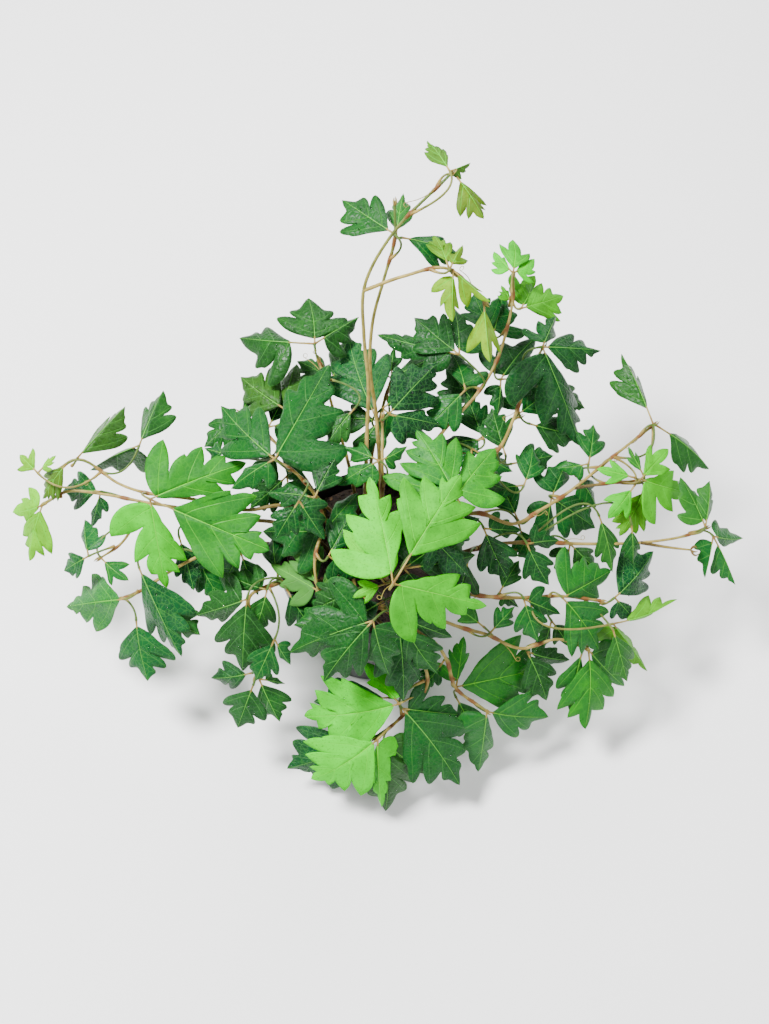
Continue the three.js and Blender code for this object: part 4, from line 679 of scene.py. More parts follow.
def blade_relief(leaflet, leaf, along, side, number, out):
    """How far the skin stands off the plain blade: quilted, puckered, ruffled and curled down."""
    a, b, c, d = (np.pi * draw(leaflet.tag, FOR_PHASE + i) for i in range(4))
    away = np.minimum(1, np.abs(side) / SMOOTH_MIDDLE)
    dew = max(0.0, -leaf.cast)
    quilt = -np.cos(2 * np.pi * number) * np.sin(np.pi * out ** QUILT_SHAPE) * away
    pucker = waves(along, side, PUCKER_WAVES, (a, b)) * away * 0.5 * (1 + DEWY_PUCKER * dew)
    crumple = waves(along, side, CRUMPLE_WAVES, (b, c)) * away * CRUMPLE * dew
    ruffle = np.sin(RUFFLE_TURNS * along + c) * out ** 3 * np.sin(d + side)
    most = (YOUNG_CURL + (OLD_CURL - YOUNG_CURL) * leaf.tone) * (1 - DEWY_FLATNESS * dew)
    most *= CURL[0] + CURL[1] * draw(leaflet.tag, FOR_CURL)
    curl = most * out ** CURL_SHAPE * np.minimum(1, np.abs(side) / MIDRIB_REACH)
    return QUILTING * quilt + PUCKER * (pucker + crumple) + RUFFLE * ruffle - curl


def laid(leaflet, leaf, along, side, lift):
    """Places on the finished blade, whose halves turn down and whose tip hooks to one side."""
    fold = leaf.folded or YOUNG_FOLD + (OLD_FOLD - YOUNG_FOLD) * leaf.tone
    fold *= max(0.0, FOLD[0] + FOLD[1] * draw(leaflet.tag, FOR_FOLD))
    hooked = side * math.cos(fold) + HOOK * draw(leaflet.tag, FOR_HOOK) * along ** 2
    return leaflet.points(along, hooked, lift - np.abs(side) * math.sin(fold) * leaflet.length)


def vein_distance(along, side, veins):
    """How far each place is from the nearest vein, in parts of the leaflet's length."""
    places = np.stack([along, side], axis=-1)
    nearest = np.full(along.shape, 1.0)
    for column in veins:
        way = places[column]
        for start, end in zip(way, way[1:]):
            chord = end - start
            part = np.clip(((places - start) @ chord) / (chord @ chord), 0, 1)
            gap = np.linalg.norm(places - start - part[..., None] * chord, axis=-1)
            nearest = np.minimum(nearest, gap)
    return nearest


def blade_half(leaflet, leaf, hand):
    """One side of a blade as a thin closed solid: points, faces and what its material reads."""
    margin, veins = margin_of(leaflet, leaf, hand)
    rows = FEWEST_ROWS + (leaflet.length >= SMALL_BLADE) + 2 * (leaflet.length >= LARGE_BLADE)
    out = np.linspace(0, 1, rows + 1)[None, :]
    along = margin[:, 2:3] + (margin[:, 0:1] - margin[:, 2:3]) * out ** VEIN_CURVE
    side = margin[:, 1:2] * out
    number = np.repeat(margin[:, 3:4], rows + 1, axis=1)
    relief = blade_relief(leaflet, leaf, along, hand * side, number, out) * leaflet.length
    half = BLADE_THICKNESS / 2 * (1 - (1 - THIN_EDGE) * out ** 3)
    skins = [laid(leaflet, leaf, along, hand * side, relief + lift) for lift in (half, -half)]
    columns, width = along.shape
    count = columns * width
    index = np.arange(count).reshape(columns, width)
    corners = (index[:-1, :-1], index[1:, :-1], index[1:, 1:], index[:-1, 1:])
    upper_faces = np.stack(corners, axis=-1).reshape(-1, 4)
    lower_faces = (upper_faces + count)[:, ::-1]
    rim = np.concatenate([index[:, 0], index[-1, 1:], index[-2::-1, -1], index[0, -2:0:-1]])
    after = np.roll(rim, -1)
    walls = np.stack([after, rim, rim + count, after + count], axis=-1)
    flat = np.stack([along, hand * side], axis=-1).reshape(-1, 2) * leaflet.length / UV_SPAN
    far = vein_distance(along, side, veins) * leaflet.length
    to_vein = np.stack([far, np.broadcast_to(out, far.shape)], axis=-1).reshape(-1, 2)
    return {
        "points": np.concatenate([skin.reshape(-1, 3) for skin in skins]),
        "faces": np.concatenate([upper_faces, lower_faces, walls])[:, ::hand],
        "veins": np.tile(to_vein, (2, 1)),
        "blade": np.tile(flat + UV_STEP * (leaflet.tag % UV_PLACES), (2, 1)),
        "upper": np.repeat([1.0, 0.0], count),
    }


def placed(name, data):
    """A new object in the scene."""
    piece = bpy.data.objects.new(name, data)
    bpy.context.scene.collection.objects.link(piece)
    return piece


def store(mesh, name, values):
    layer = mesh.attributes.new(name, "FLOAT", "POINT")
    layer.data.foreach_set("value", np.asarray(values, dtype=np.float32))


def store_uv(mesh, name, values):
    corners = np.empty(len(mesh.loops), dtype=np.int32)
    mesh.loops.foreach_get("vertex_index", corners)
    flat = values[corners].astype(np.float32).ravel()
    mesh.uv_layers.new(name=name).data.foreach_set("uv", flat)


def blades_of(stem, material):
    """All the blades of a leafy stem in one piece."""
    halves = []
    count = 0
    for leaf in stem.leaves:
        wet = 1 + WETNESS_SPREAD * draw(leaf.number, FOR_WETNESS)
        wet = wet * max(0.0, leaf.tone - DRY_BELOW) - DEW_WETNESS * min(0.0, leaf.cast)
        for leaflet in leaf.leaflets:
            tone = leaf.tone + leaf.shades[leaflet.kind]
            tone += LEAFLET_TONES * draw(leaflet.tag, FOR_TONE)
            for hand in (1, -1):
                half = blade_half(leaflet, leaf, hand)
                half["faces"] = half["faces"] + count
                size = len(half["points"])
                values = {"tone": tone, "wet": wet * (not leaf.turned), "cast": leaf.cast}
                half.update({key: np.full(size, value) for key, value in values.items()})
                if leaf.turned:
                    half["upper"] = 1 - half["upper"]
                count += size
                halves.append(half)
    whole = {key: np.concatenate([half[key] for half in halves]) for key in halves[0]}
    mesh = bpy.data.meshes.new("blades_" + stem.name)
    mesh.from_pydata((whole["points"] * MM).tolist(), [], whole["faces"].tolist())
    mesh.validate()
    mesh.shade_smooth()
    mesh.materials.append(material)
    for name in ("upper", "tone", "wet", "cast"):
        store(mesh, name, whole[name])
    for name in ("veins", "blade"):
        store_uv(mesh, name, whole[name])
    return placed(mesh.name, mesh)


# ---- Stems, petioles, stalks and midribs ----

SHOOT_SIDES = 8
SHOOT_STEP = 2.5
FEWEST_PIECES = 8
BRANCH_GIRTH = 0.8
TIP_THINNING = 0.45
NODE_SWELLING = 0.5
NODE_REACH = 3.5
YOUNG_WOOD = 0.75
WOOD_SHAPE = 1.2
PETIOLE_STEPS = 15
PETIOLE_GIRTH = 0.68
FOOT_SWELLING = 0.75
FOOT_REACH = 3.0
FOOT_WOOD = 0.35
FOOT_BLUSH = 0.5
HEAD_SWELLING = 0.35
HEAD_REACH = 2.2
YOUNG_PETIOLE_WOOD = 0.3
OLD_PETIOLE_WOOD = 0.1
STALK_GIRTH = 0.55
STALK_WOOD = 0.3
STALK_BLUSH = 0.55
STALK_SWELLING = 0.3
# How far a stalk reaches back over the joint and on into its blade.
STALK_ENDS = (0.4, 1.2)
STALK_FADING = np.array((1, 0.8, 0.45, 0.25, 0.1, 0))
MIDRIB_STEPS = 14
MIDRIB_GIRTH = 0.42
MIDRIB_THINNING = 0.82
MIDRIB_SHAPE = 0.8
MIDRIB_SINKING = 0.55
MIDRIB_BLUSH = 0.25
MIDRIB_BLUSH_REACH = 0.05
OLD_RIB = 0.4
THINNEST_MIDRIB = 0.55
FULL_BLADE = 60
TENDRIL_ABOVE = 0.7
TENDRIL_LENGTH = 17
TENDRIL_SPREAD = 0.35
TENDRIL_OUTWARD = 0.5
TENDRIL_BOW = 1.6
TENDRIL_GIRTH = 0.26
TENDRIL_THINNING = 0.45
TENDRIL_WOOD = 0.32
TENDRIL_STEPS = 12
COIL_STEPS = 30
COIL_RADIUS = 1.9
COIL_CLOSING = 0.5
COIL_TURNS = 0.85
COIL_RISE = 0.25
BUD_STEPS = 8
BUD_AIM = (0.97, 1.0)
BUD_LENGTH = 6
BUD_OVERLAP = 0.12
BUD_SINKING = 0.8
BUD_BENDING = 2.6
BUD_GIRTH = (0.12, 0.62)
BUD_SHAPE = 0.7
BUD_BLUSH = 0.5
# The number of a bud's scales, how far they spread and how brown they are.
FRESH_BUD = (3, 0.9, 0.35)
WITHERED_BUD = (5, 3.2, 0.75)


def stem_ways(stem):
    """The stem's curves with their girth, wood, blush and rib, as every way has."""
    feet = np.array([leaf.petiole[0] for leaf in stem.leaves])
    for number, curve in enumerate(stem.curves):
        points = curve.spaced(max(FEWEST_PIECES, round(curve.length / SHOOT_STEP)))
        along = np.linspace(0, 1, len(points))
        gap = np.linalg.norm(points[:, None] - feet[None], axis=2).min(axis=1)
        node = np.exp(-(gap / NODE_REACH) ** 2)
        girth = STEM_RADIUS * (BRANCH_GIRTH if number else 1)
        girth = girth * (1 - TIP_THINNING * along) * (1 + NODE_SWELLING * node)
        yield points, girth, stem.wood * (1 - YOUNG_WOOD * along ** WOOD_SHAPE), node, 0


def leaf_ways(leaf):
    """A leaf's petiole, the stalks of its leaflets and their midribs."""
    start, bend, joint = leaf.petiole
    part = np.linspace(0, 1, PETIOLE_STEPS)
    rest = part[:, None]
    points = start * (1 - rest) ** 2 + 2 * bend * rest * (1 - rest) + joint * rest ** 2
    span = np.linalg.norm(joint - start)
    foot = np.exp(-(part * span / FOOT_REACH) ** 2)
    head = np.exp(-((1 - part) * span / HEAD_REACH) ** 2)
    girth = PETIOLE_GIRTH * (1 + FOOT_SWELLING * foot + HEAD_SWELLING * head)
    wood = YOUNG_PETIOLE_WOOD + (OLD_PETIOLE_WOOD - YOUNG_PETIOLE_WOOD) * leaf.tone
    yield points, girth, wood + FOOT_WOOD * foot, FOOT_BLUSH * foot, 0
    for leaflet in leaf.leaflets:
        near = STALK_FADING
        stalk = np.linspace(leaf.joint - leaflet.forward * STALK_ENDS[0],
                            leaflet.base + leaflet.forward * STALK_ENDS[1], len(near))
        swelling = 1 + STALK_SWELLING * near
        yield stalk, STALK_GIRTH * swelling, STALK_WOOD * (1 + near), STALK_BLUSH * near, 0
        size = min(1.0, leaflet.length / FULL_BLADE)
        along = np.linspace(0.0, 1.0, MIDRIB_STEPS)
        girth = MIDRIB_GIRTH * (THINNEST_MIDRIB + (1 - THINNEST_MIDRIB) * size)
        girth = girth * (1 - MIDRIB_THINNING * along ** MIDRIB_SHAPE)
        lift = BLADE_THICKNESS / 2 - girth * MIDRIB_SINKING
        ridge = laid(leaflet, leaf, along, np.zeros_like(along), lift)
        blush = MIDRIB_BLUSH * np.exp(-along / MIDRIB_BLUSH_REACH)
        yield ridge, girth, 0, blush, 1 + (OLD_RIB - 1) * leaf.tone


def tendril_way(leaf):
    """A fine tendril that springs from the stem against the petiole and ends in a coil."""
    foot, _, joint = leaf.petiole
    heading = unit(unit(foot - joint) + TENDRIL_OUTWARD * OUT)
    aside = unit(np.cross(heading, OUT)) * (1 if draw(leaf.number, FOR_TENDRIL_SIDE) > 0 else -1)
    reach = TENDRIL_LENGTH * (1 + TENDRIL_SPREAD * draw(leaf.number, FOR_TENDRIL_LENGTH))
    along = np.linspace(0, 1, TENDRIL_STEPS)[:, None]
    straight = foot + heading * reach * along + aside * TENDRIL_BOW * np.sin(math.pi * along)
    turn = np.linspace(0, COIL_TURNS * math.tau, COIL_STEPS)[1:, None]
    radius = COIL_RADIUS * (1 - COIL_CLOSING * turn / turn[-1])
    coil = radius * (heading * np.sin(turn) + aside * (1 - np.cos(turn))) + OUT * COIL_RISE * turn
    points = np.concatenate([straight, straight[-1] + coil])
    girth = TENDRIL_GIRTH * np.linspace(1, TENDRIL_THINNING, len(points))
    return points, girth, TENDRIL_WOOD, 0, 0


def bud_ways(curve, withered):
    """The scales of the bud that ends a shoot, which curl up brown where it has withered."""
    before, tip = curve.at(BUD_AIM)
    heading = unit(tip - before)
    side = unit(np.cross(heading, OUT))
    other = np.cross(heading, side)
    part = np.linspace(0, 1, BUD_STEPS)
    scales, spread, wood = WITHERED_BUD if withered else FRESH_BUD
    for i in range(scales):
        turn = math.tau * i / scales
        lean = side * math.cos(turn) + other * math.sin(turn)
        reach = part * BUD_LENGTH * (1 - BUD_OVERLAP * i) - BUD_SINKING
        bent = spread * np.sin(BUD_BENDING * part)
        points = tip + np.outer(reach, heading) + np.outer(bent, lean)
        girth = BUD_GIRTH[0] + BUD_GIRTH[1] * np.sin(math.pi * part ** BUD_SHAPE)
        yield points, girth, wood, BUD_BLUSH * (1 - part), 0


class Graph:
    """A node tree made node by node. Sources of a node's sockets are sockets or plain values."""

    def __init__(self, tree):
        self.tree = tree

    def add(self, kind, settings=None, **sources):
        node = self.tree.nodes.new(kind)
        for name, value in (settings or {}).items():
            setattr(node, name, value)
        for label, source in sources.items():
            self.feed(node.inputs[label.replace("_", " ")], source)
        return node

    def made(self, kind, settings=None, **sources):
        """The first output of a new node."""
        return self.add(kind, settings, **sources).outputs[0]

    def feed(self, socket, source):
        if isinstance(source, bpy.types.NodeSocket):
            self.tree.links.new(source, socket)
        else:
            socket.default_value = source

    def calculate(self, operation, *values, clamp=False):
        node = self.add("ShaderNodeMath", {"operation": operation, "use_clamp": clamp})
        for socket, value in zip(node.inputs, values):
            self.feed(socket, value)
        return node.outputs[0]


class Growth(Graph):
    """A geometry node tree with named inputs for its sizes."""

    def __init__(self, name, inputs):
        super().__init__(bpy.data.node_groups.new(name, "GeometryNodeTree"))
        face = self.tree.interface
        for label, kind in {"Geometry": "Geometry", **inputs}.items():
            face.new_socket(label, in_out="INPUT", socket_type="NodeSocket" + kind)
        face.new_socket("Geometry", in_out="OUTPUT", socket_type="NodeSocketGeometry")
        self.start = self.add("NodeGroupInput").outputs
        self.end = self.add("NodeGroupOutput").inputs

    def named(self, name):
        return self.made("GeometryNodeInputNamedAttribute", {"data_type": "FLOAT"}, Name=name)

    def finish(self, geometry, material):
        """Ends in Realize Instances and Set Material."""
        realized = self.made("GeometryNodeRealizeInstances", Geometry=geometry)
        smooth = self.made("GeometryNodeSetShadeSmooth", Geometry=realized)
        dressed = self.made("GeometryNodeSetMaterial", Geometry=smooth, Material=material)
        self.feed(self.end[0], dressed)
        return self.tree


def evaluated_mesh(piece):
    """The mesh of an object with its modifiers worked in."""
    evaluated = piece.evaluated_get(bpy.context.evaluated_depsgraph_get())
    return bpy.data.meshes.new_from_object(evaluated)


def grown(source, name, tree, values, material):
    """What the tree makes of the source object, as a plain mesh piece."""
    modifier = source.modifiers.new("grow", "NODES")
    modifier.node_group = tree
    for item in tree.interface.items_tree:
        if item.in_out == "INPUT" and item.name in values:
            modifier[item.identifier] = values[item.name]
    mesh = evaluated_mesh(source)
    source.modifiers.remove(modifier)
    mesh.name = name
    if not mesh.materials:
        mesh.materials.append(material)
    return placed(name, mesh)


def sweep_tree(material):
    """Sweeps a round section along every way of a mesh of edges, as thick as its girth."""
    tree = Growth("sweep", {"Sides": "Int"})
    ways = tree.made("GeometryNodeMeshToCurve", Mesh=tree.start[0])
    section = tree.made("GeometryNodeCurvePrimitiveCircle", Resolution=tree.start["Sides"],
                        Radius=1.0)
    swept = tree.made("GeometryNodeCurveToMesh", Curve=ways, Profile_Curve=section,
                      Scale=tree.named("girth"), Fill_Caps=True)
    return tree.finish(swept, material)


def shoots_of(stem, tree, material):
    """The stem, its petioles, stalks and midribs, swept along their ways in one piece."""
    ways = [*stem_ways(stem), *(way for leaf in stem.leaves for way in leaf_ways(leaf))]
    for number, curve in enumerate(stem.curves):
        ways += bud_ways(curve, number in stem.withered)
    for leaf in stem.leaves:
        if draw(leaf.number, FOR_TENDRIL) > TENDRIL_ABOVE:
            ways.append(tendril_way(leaf))
    edges = []
    first = 0
    for points, *_ in ways:
        edges += [(first + i, first + i + 1) for i in range(len(points) - 1)]
        first += len(points)
    mesh = bpy.data.meshes.new("ways")
    mesh.from_pydata((np.concatenate([way[0] for way in ways]) * MM).tolist(), edges, [])
    for column, name in enumerate(("girth", "wood", "blush", "rib"), 1):
        values = [np.broadcast_to(way[column], len(way[0])) for way in ways]
        store(mesh, name, np.concatenate(values) * (MM if name == "girth" else 1))
    source = placed("ways", mesh)
    piece = grown(source, "shoots_" + stem.name, tree, {"Sides": SHOOT_SIDES}, material)
    bpy.data.objects.remove(source)
    return piece


# ---- Water drops, peat crumbs and bark ----

# How many of each lie on a square metre, and their smallest and largest size in millimetres.
DROPS = (22000, 0.22, 1.0)
CRUMBS = (90000, 0.5, 2.2)
CHIPS = (9000, 1.8, 4.6)
DROP_SEED = 7
PEAT_SEED = 31
TILT = 0.25
FEW_LARGE = 2.5
LEVEL_ABOVE = 0.6
WHOLLY_UPPER = 0.9


def scatter_tree(name, shape, material, flatness, where):
    """Strews copies of a shape over a surface, lying on it, from Smallest to Largest."""
    sizes = {"Per Area": "Float", "Smallest": "Float", "Largest": "Float", "Seed": "Int"}
    tree = Growth(name, sizes)
    density = tree.calculate("MULTIPLY", tree.start["Per Area"], where(tree))
    seed = tree.start["Seed"]
    sown = tree.add("GeometryNodeDistributePointsOnFaces", Mesh=tree.start[0], Density=density,
                    Seed=seed)
    flat = tree.made("GeometryNodeTransform", Geometry=shape(tree), Scale=flatness)
    size = tree.add("FunctionNodeRandomValue", {"data_type": "FLOAT"}, Seed=seed)
    few_large = tree.calculate("POWER", size.outputs[1], FEW_LARGE)
    reach = tree.calculate("SUBTRACT", tree.start["Largest"], tree.start["Smallest"])
    scale = tree.calculate("MULTIPLY_ADD", few_large, reach, tree.start["Smallest"])
    spin = tree.add("FunctionNodeRandomValue", {"data_type": "FLOAT_VECTOR"}, Seed=seed)
    spin.inputs["Min"].default_value = (-TILT, -TILT, -math.pi)
    spin.inputs["Max"].default_value = (TILT, TILT, math.pi)
    lying = tree.made("FunctionNodeRotateRotation", {"rotation_space": "LOCAL"},
                      Rotation=sown.outputs["Rotation"], Rotate_By=spin.outputs[0])
    copies = tree.made("GeometryNodeInstanceOnPoints", Points=sown.outputs[0], Instance=flat,
                       Rotation=lying, Scale=scale)
    return tree.finish(copies, material)


def strewn(source, name, tree, kind, seed, material):
    """Drops, crumbs or chips over the source object, as many and as large as their kind says."""
    per_area, smallest, largest = kind
    sizes = {"Per Area": per_area, "Smallest": smallest * MM, "Largest": largest * MM, "Seed": seed}
    return grown(source, name, tree, sizes, material)


def bead(tree):
    return tree.made("GeometryNodeMeshUVSphere", Segments=8, Rings=5, Radius=1.0)


def crumb(tree):
    return tree.made("GeometryNodeMeshIcoSphere", Radius=1.0, Subdivisions=1)


def chip(tree):
    """A flake of bark: a slab with six uneven sides."""
    return tree.made("GeometryNodeMeshCone", Vertices=6, Radius_Top=0.75, Radius_Bottom=1.0,
                     Depth=0.5)


def facing_up(tree):
    normal = tree.made("GeometryNodeInputNormal")
    height = tree.add("ShaderNodeSeparateXYZ", Vector=normal).outputs[2]
    return tree.calculate("GREATER_THAN", height, LEVEL_ABOVE)


def wet_upper(tree):
    upper = tree.calculate("GREATER_THAN", tree.named("upper"), WHOLLY_UPPER)
    return tree.calculate("MULTIPLY", tree.named("wet"), upper)


# ---- Pot ----

def pot_piece(material):
    """The pot as one lathed shell with a rim band, foot and drain holes."""
    top, foot, band = POT_TOP_RADIUS, POT_BASE_RADIUS, POT_HEIGHT - RIM_BAND_HEIGHT

    def wall(z):
        return foot + (top - RIM_BAND_STEP - foot) * z / POT_HEIGHT

    profile = [
        (0, 2.0), (foot - 9, 2.0), (foot - 7.5, 0.3), (foot - 6.8, 0.0), (foot - 0.8, 0.0),
        (foot - 0.2, 0.3), (wall(0.8), 0.9), (wall(band - 1.2), band - 1.2),
        (wall(band) + 0.25, band - 0.5), (top - 0.5, band), (top - 0.12, band + 0.4),
        (top, band + 1.2), (top, POT_HEIGHT - 0.7), (top - 0.2, POT_HEIGHT - 0.2),
        (top - 0.7, POT_HEIGHT), (top - POT_WALL, POT_HEIGHT - 0.2),
        (top - POT_WALL - 0.2, POT_HEIGHT - 0.8), (wall(band) - POT_WALL, band - 1.5),
        (wall(6) - POT_WALL, 6), (foot - POT_WALL - 1.5, POT_FLOOR + 0.6),
        (foot - POT_WALL - 3, POT_FLOOR), (0, POT_FLOOR),
    ]
    mesh = bpy.data.meshes.new("pot_profile")
    mesh.from_pydata([(r * MM, 0, z * MM) for r, z in profile],
                     [(i, i + 1) for i in range(len(profile) - 1)], [])
    piece = placed("pot_shell", mesh)
    work = bmesh.new()
    work.from_mesh(mesh)
    bmesh.ops.spin(work, geom=work.verts[:] + work.edges[:], cent=(0, 0, 0), axis=(0, 0, 1),
                   dvec=(0, 0, 0), angle=math.tau, steps=POT_SIDES, use_duplicate=False)
    bmesh.ops.remove_doubles(work, verts=work.verts[:], dist=1e-5)
    bmesh.ops.recalc_face_normals(work, faces=work.faces[:])
    work.to_mesh(mesh)
    work.free()
    drills = []
    for i in range(DRAIN_HOLES):
        turn = math.tau * i / DRAIN_HOLES
        place = [DRAIN_RING_RADIUS * MM * way for way in (math.cos(turn), math.sin(turn), 0)]
        bpy.ops.mesh.primitive_cylinder_add(vertices=DRAIN_SIDES, radius=DRAIN_RADIUS * MM,
                                            depth=DRILL_LENGTH * MM, location=place)
        drills.append(bpy.context.object)
        cut = piece.modifiers.new("drain", "BOOLEAN")
        cut.object = drills[-1]
        cut.operation = "DIFFERENCE"
        cut.solver = "EXACT"
    mesh = evaluated_mesh(piece)
    piece.modifiers.clear()
    piece.data = mesh
    for drill in drills:
        bpy.data.objects.remove(drill)
    mesh.materials.clear()
    mesh.materials.append(material)
    mesh.shade_smooth()
    mesh.set_sharp_from_angle(angle=SHARP_CREASE)
    return piece


# ---- Finishes ----

class Finish(Graph):
    """A material's node tree round one Principled shader."""

    def __init__(self, name, **plain):
        self.material = bpy.data.materials.new(name)
        self.material.use_nodes = True
        super().__init__(self.material.node_tree)
        self.shader = self.tree.nodes["Principled BSDF"]
        self.set(**plain)

    def set(self, **sources):
        for label, source in sources.items():
            self.feed(self.shader.inputs[label.replace("_", " ")], source)

    def attribute(self, name):
        return self.add("ShaderNodeAttribute", {"attribute_name": name}).outputs["Fac"]

    def uv(self, name):
        return self.made("ShaderNodeUVMap", {"uv_map": name})

    def place(self):
        return self.add("ShaderNodeTexCoord").outputs["Object"]

    def noise(self, vector, scale, detail=3.0, roughness=0.55):
        return self.made("ShaderNodeTexNoise", Vector=vector, Scale=scale, Detail=detail,
                         Roughness=roughness)

    def ramp(self, factor, stops):
        node = self.add("ShaderNodeValToRGB", Fac=factor)
        marks = node.color_ramp.elements
        for _ in stops[2:]:
            marks.new(1.0)
        for mark, (place, colour) in zip(marks, stops):
            mark.position = place
            mark.color = (*colour, 1)
        return node.outputs[0]

    def span(self, value, low, high, start=0.0, end=1.0):
        """The value's way from low to high, eased, as from start to end."""
        node = self.add("ShaderNodeMapRange", {"interpolation_type": "SMOOTHSTEP"}, Value=value,
                        From_Min=low, From_Max=high, To_Min=start, To_Max=end)
        return node.outputs[0]

    def mixed(self, factor, first, second, blend="MIX"):
        node = self.add("ShaderNodeMix", {"data_type": "RGBA", "blend_type": blend})
        self.feed(node.inputs[0], factor)
        for socket, source in ((node.inputs[6], first), (node.inputs[7], second)):
            self.feed(socket, (*source, 1) if isinstance(source, tuple) else source)
        return node.outputs[2]

    def bump(self, height, strength, distance, under=None):
        node = self.add("ShaderNodeBump", Height=height, Strength=strength, Distance=distance)
        if under is not None:
            self.feed(node.inputs["Normal"], under)
        return node.outputs[0]


LEAF_AGES = [
    (0.0, (0.038, 0.520, 0.0)), (0.12, (0.030, 0.380, 0.0005)), (0.3, (0.016, 0.190, 0.004)),
    (0.45, (0.010, 0.118, 0.009)), (0.62, (0.0070, 0.088, 0.0115)), (0.8, (0.0040, 0.060, 0.0085)),
    (1.0, (0.0014, 0.024, 0.0034)),
]
VEIN_AGES = [(0.0, (0.09, 0.62, 0.004)), (0.4, (0.07, 0.36, 0.012)), (1.0, (0.055, 0.22, 0.045))]
BACK_AGES = [(0.0, (0.06, 0.32, 0.010)), (0.5, (0.045, 0.17, 0.025)), (1.0, (0.035, 0.12, 0.035))]
RIB_AGES = [(0.3, (0.085, 0.26, 0.05)), (0.65, (0.09, 0.36, 0.02)), (1.0, (0.13, 0.60, 0.006))]
PEAT_LUMPS = [
    (0.3, (0.006, 0.003, 0.002)), (0.55, (0.026, 0.013, 0.007)), (0.8, (0.075, 0.042, 0.022))]
BARK_LAYERS = [
    (0.3, (0.030, 0.013, 0.007)), (0.55, (0.11, 0.052, 0.027)), (0.8, (0.22, 0.12, 0.065))]
FLECK_GREEN = (0.006, 0.085, 0.004)
BACK_VEIN_GREEN = (0.10, 0.27, 0.05)
# The blue-green lean of dewy leaves is a painted sheen of light on the dew; the olive lean is the
# leaf's own colour.
DEW_SHEEN_CAST = (1.3, 1.15, 2.4)
OLIVE_CAST = (7.0, 1.0, 0.6)
NET_CELL = 30.0
DEW_CELL = 85.0
# The pale colour painted where dew beads stand is a painted glint of light on the drops.
DEW_GLINT_COLOUR = (0.09, 0.36, 0.15)
BACK_ROUGHNESS = 0.66
DEW_ROUGHNESS = 0.06


def leaf_finish():
    """A leaf's skin: its age's green, sunk paler veins, fine netting, dew with painted glints, a
    painted sheen on dewy leaves and a matt pale back.
    """
    look = Finish("grape_ivy_leaf", IOR=1.45, Specular_IOR_Level=0.16)
    split = look.add("ShaderNodeSeparateXYZ", Vector=look.uv("veins")).outputs
    far, out = split[0], split[1]
    blade = look.uv("blade")
    tone, upper, wet, cast = (look.attribute(name) for name in ("tone", "upper", "wet", "cast"))
    cloud = look.noise(blade, 8.0)
    speckle = look.noise(blade, 75.0, 2.0)
    age = look.calculate("ADD", tone, look.span(cloud, 0.3, 0.7, -0.07, 0.07))
    green = look.mixed(look.span(speckle, 0.56, 0.7, 0.0, 0.5), look.ramp(age, LEAF_AGES),
                       FLECK_GREEN)
    dewy = look.calculate("MULTIPLY", cast, -0.9, clamp=True)
    olive = look.calculate("MULTIPLY", cast, 0.9, clamp=True)
    # dewy leaves lean to blue-green, a painted sheen; olive ones lean to olive, their own colour
    for share, colour in ((dewy, DEW_SHEEN_CAST), (olive, OLIVE_CAST)):
        green = look.mixed(share, green, look.mixed(1.0, green, colour, "MULTIPLY"))

    # side veins, finer towards the margin, and the net between them
    width = look.calculate("MULTIPLY_ADD", out, -0.36, 0.52)
    sunk = look.calculate("DIVIDE", far, width, clamp=True)
    vein = look.calculate("SUBTRACT", 1.0, sunk, clamp=True)
    net = look.made("ShaderNodeTexVoronoi", {"feature": "DISTANCE_TO_EDGE"}, Vector=blade,
                    Scale=NET_CELL)
    pale = look.ramp(age, VEIN_AGES)
    veined = look.calculate("MULTIPLY", vein, look.span(tone, 0.3, 0.9, 0.8, 0.5))
    netted = look.calculate("MULTIPLY", look.span(net, 0.0, 0.09, 1.0, 0.0),
                            look.calculate("MULTIPLY_ADD", dewy, 0.3, 0.12))
    skin = green
    for share in (veined, netted, look.span(out, 0.975, 1.0, 0.0, 0.4)):
        skin = look.mixed(share, skin, pale)

    # beads of dew, in patches: their pale colour is a painted glint of light on the drops, while
    # their roughness and bump are real
    beads = look.made("ShaderNodeTexVoronoi", Vector=blade, Scale=DEW_CELL)
    patches = look.span(look.noise(blade, 11.0, 2.0), 0.44, 0.6)
    damp = look.calculate("MULTIPLY", patches, wet, clamp=True)
    damp = look.calculate("MULTIPLY", damp, upper)
    dew = look.calculate("MULTIPLY", look.span(beads, 0.16, 0.32, 1.0, 0.0), damp)
    # painted glint: the dew beads lighten the leaf's colour, as light on the drops would
    skin = look.mixed(look.calculate("MULTIPLY", dew, 0.35), skin, DEW_GLINT_COLOUR)
    back = look.mixed(look.calculate("MULTIPLY", vein, 0.5), look.ramp(age, BACK_AGES),
                      BACK_VEIN_GREEN)
    look.set(Base_Color=look.mixed(upper, back, skin))

    gloss = look.calculate("ADD", look.span(tone, 0.0, 0.7, BACK_ROUGHNESS, 0.36),
                           look.span(cloud, 0.3, 0.7, -0.05, 0.08))
    gloss = look.calculate("MULTIPLY_ADD", look.span(out, 0.6, 1.0), 0.12, gloss)
    smoother = look.calculate("SUBTRACT", gloss, BACK_ROUGHNESS)
    rough = look.calculate("MULTIPLY_ADD", upper, smoother, BACK_ROUGHNESS)
    smoother = look.calculate("SUBTRACT", DEW_ROUGHNESS, rough)
    look.set(Roughness=look.calculate("MULTIPLY_ADD", dew, smoother, rough))
    relief = look.bump(net, look.span(tone, 0.3, 0.8, 0.25, 0.9), 0.0007)
    relief = look.bump(look.calculate("SUBTRACT", 1.0, vein), 0.45, 0.0007, relief)
    look.set(Normal=look.bump(dew, 1.0, 0.0008, relief))
    return look.material


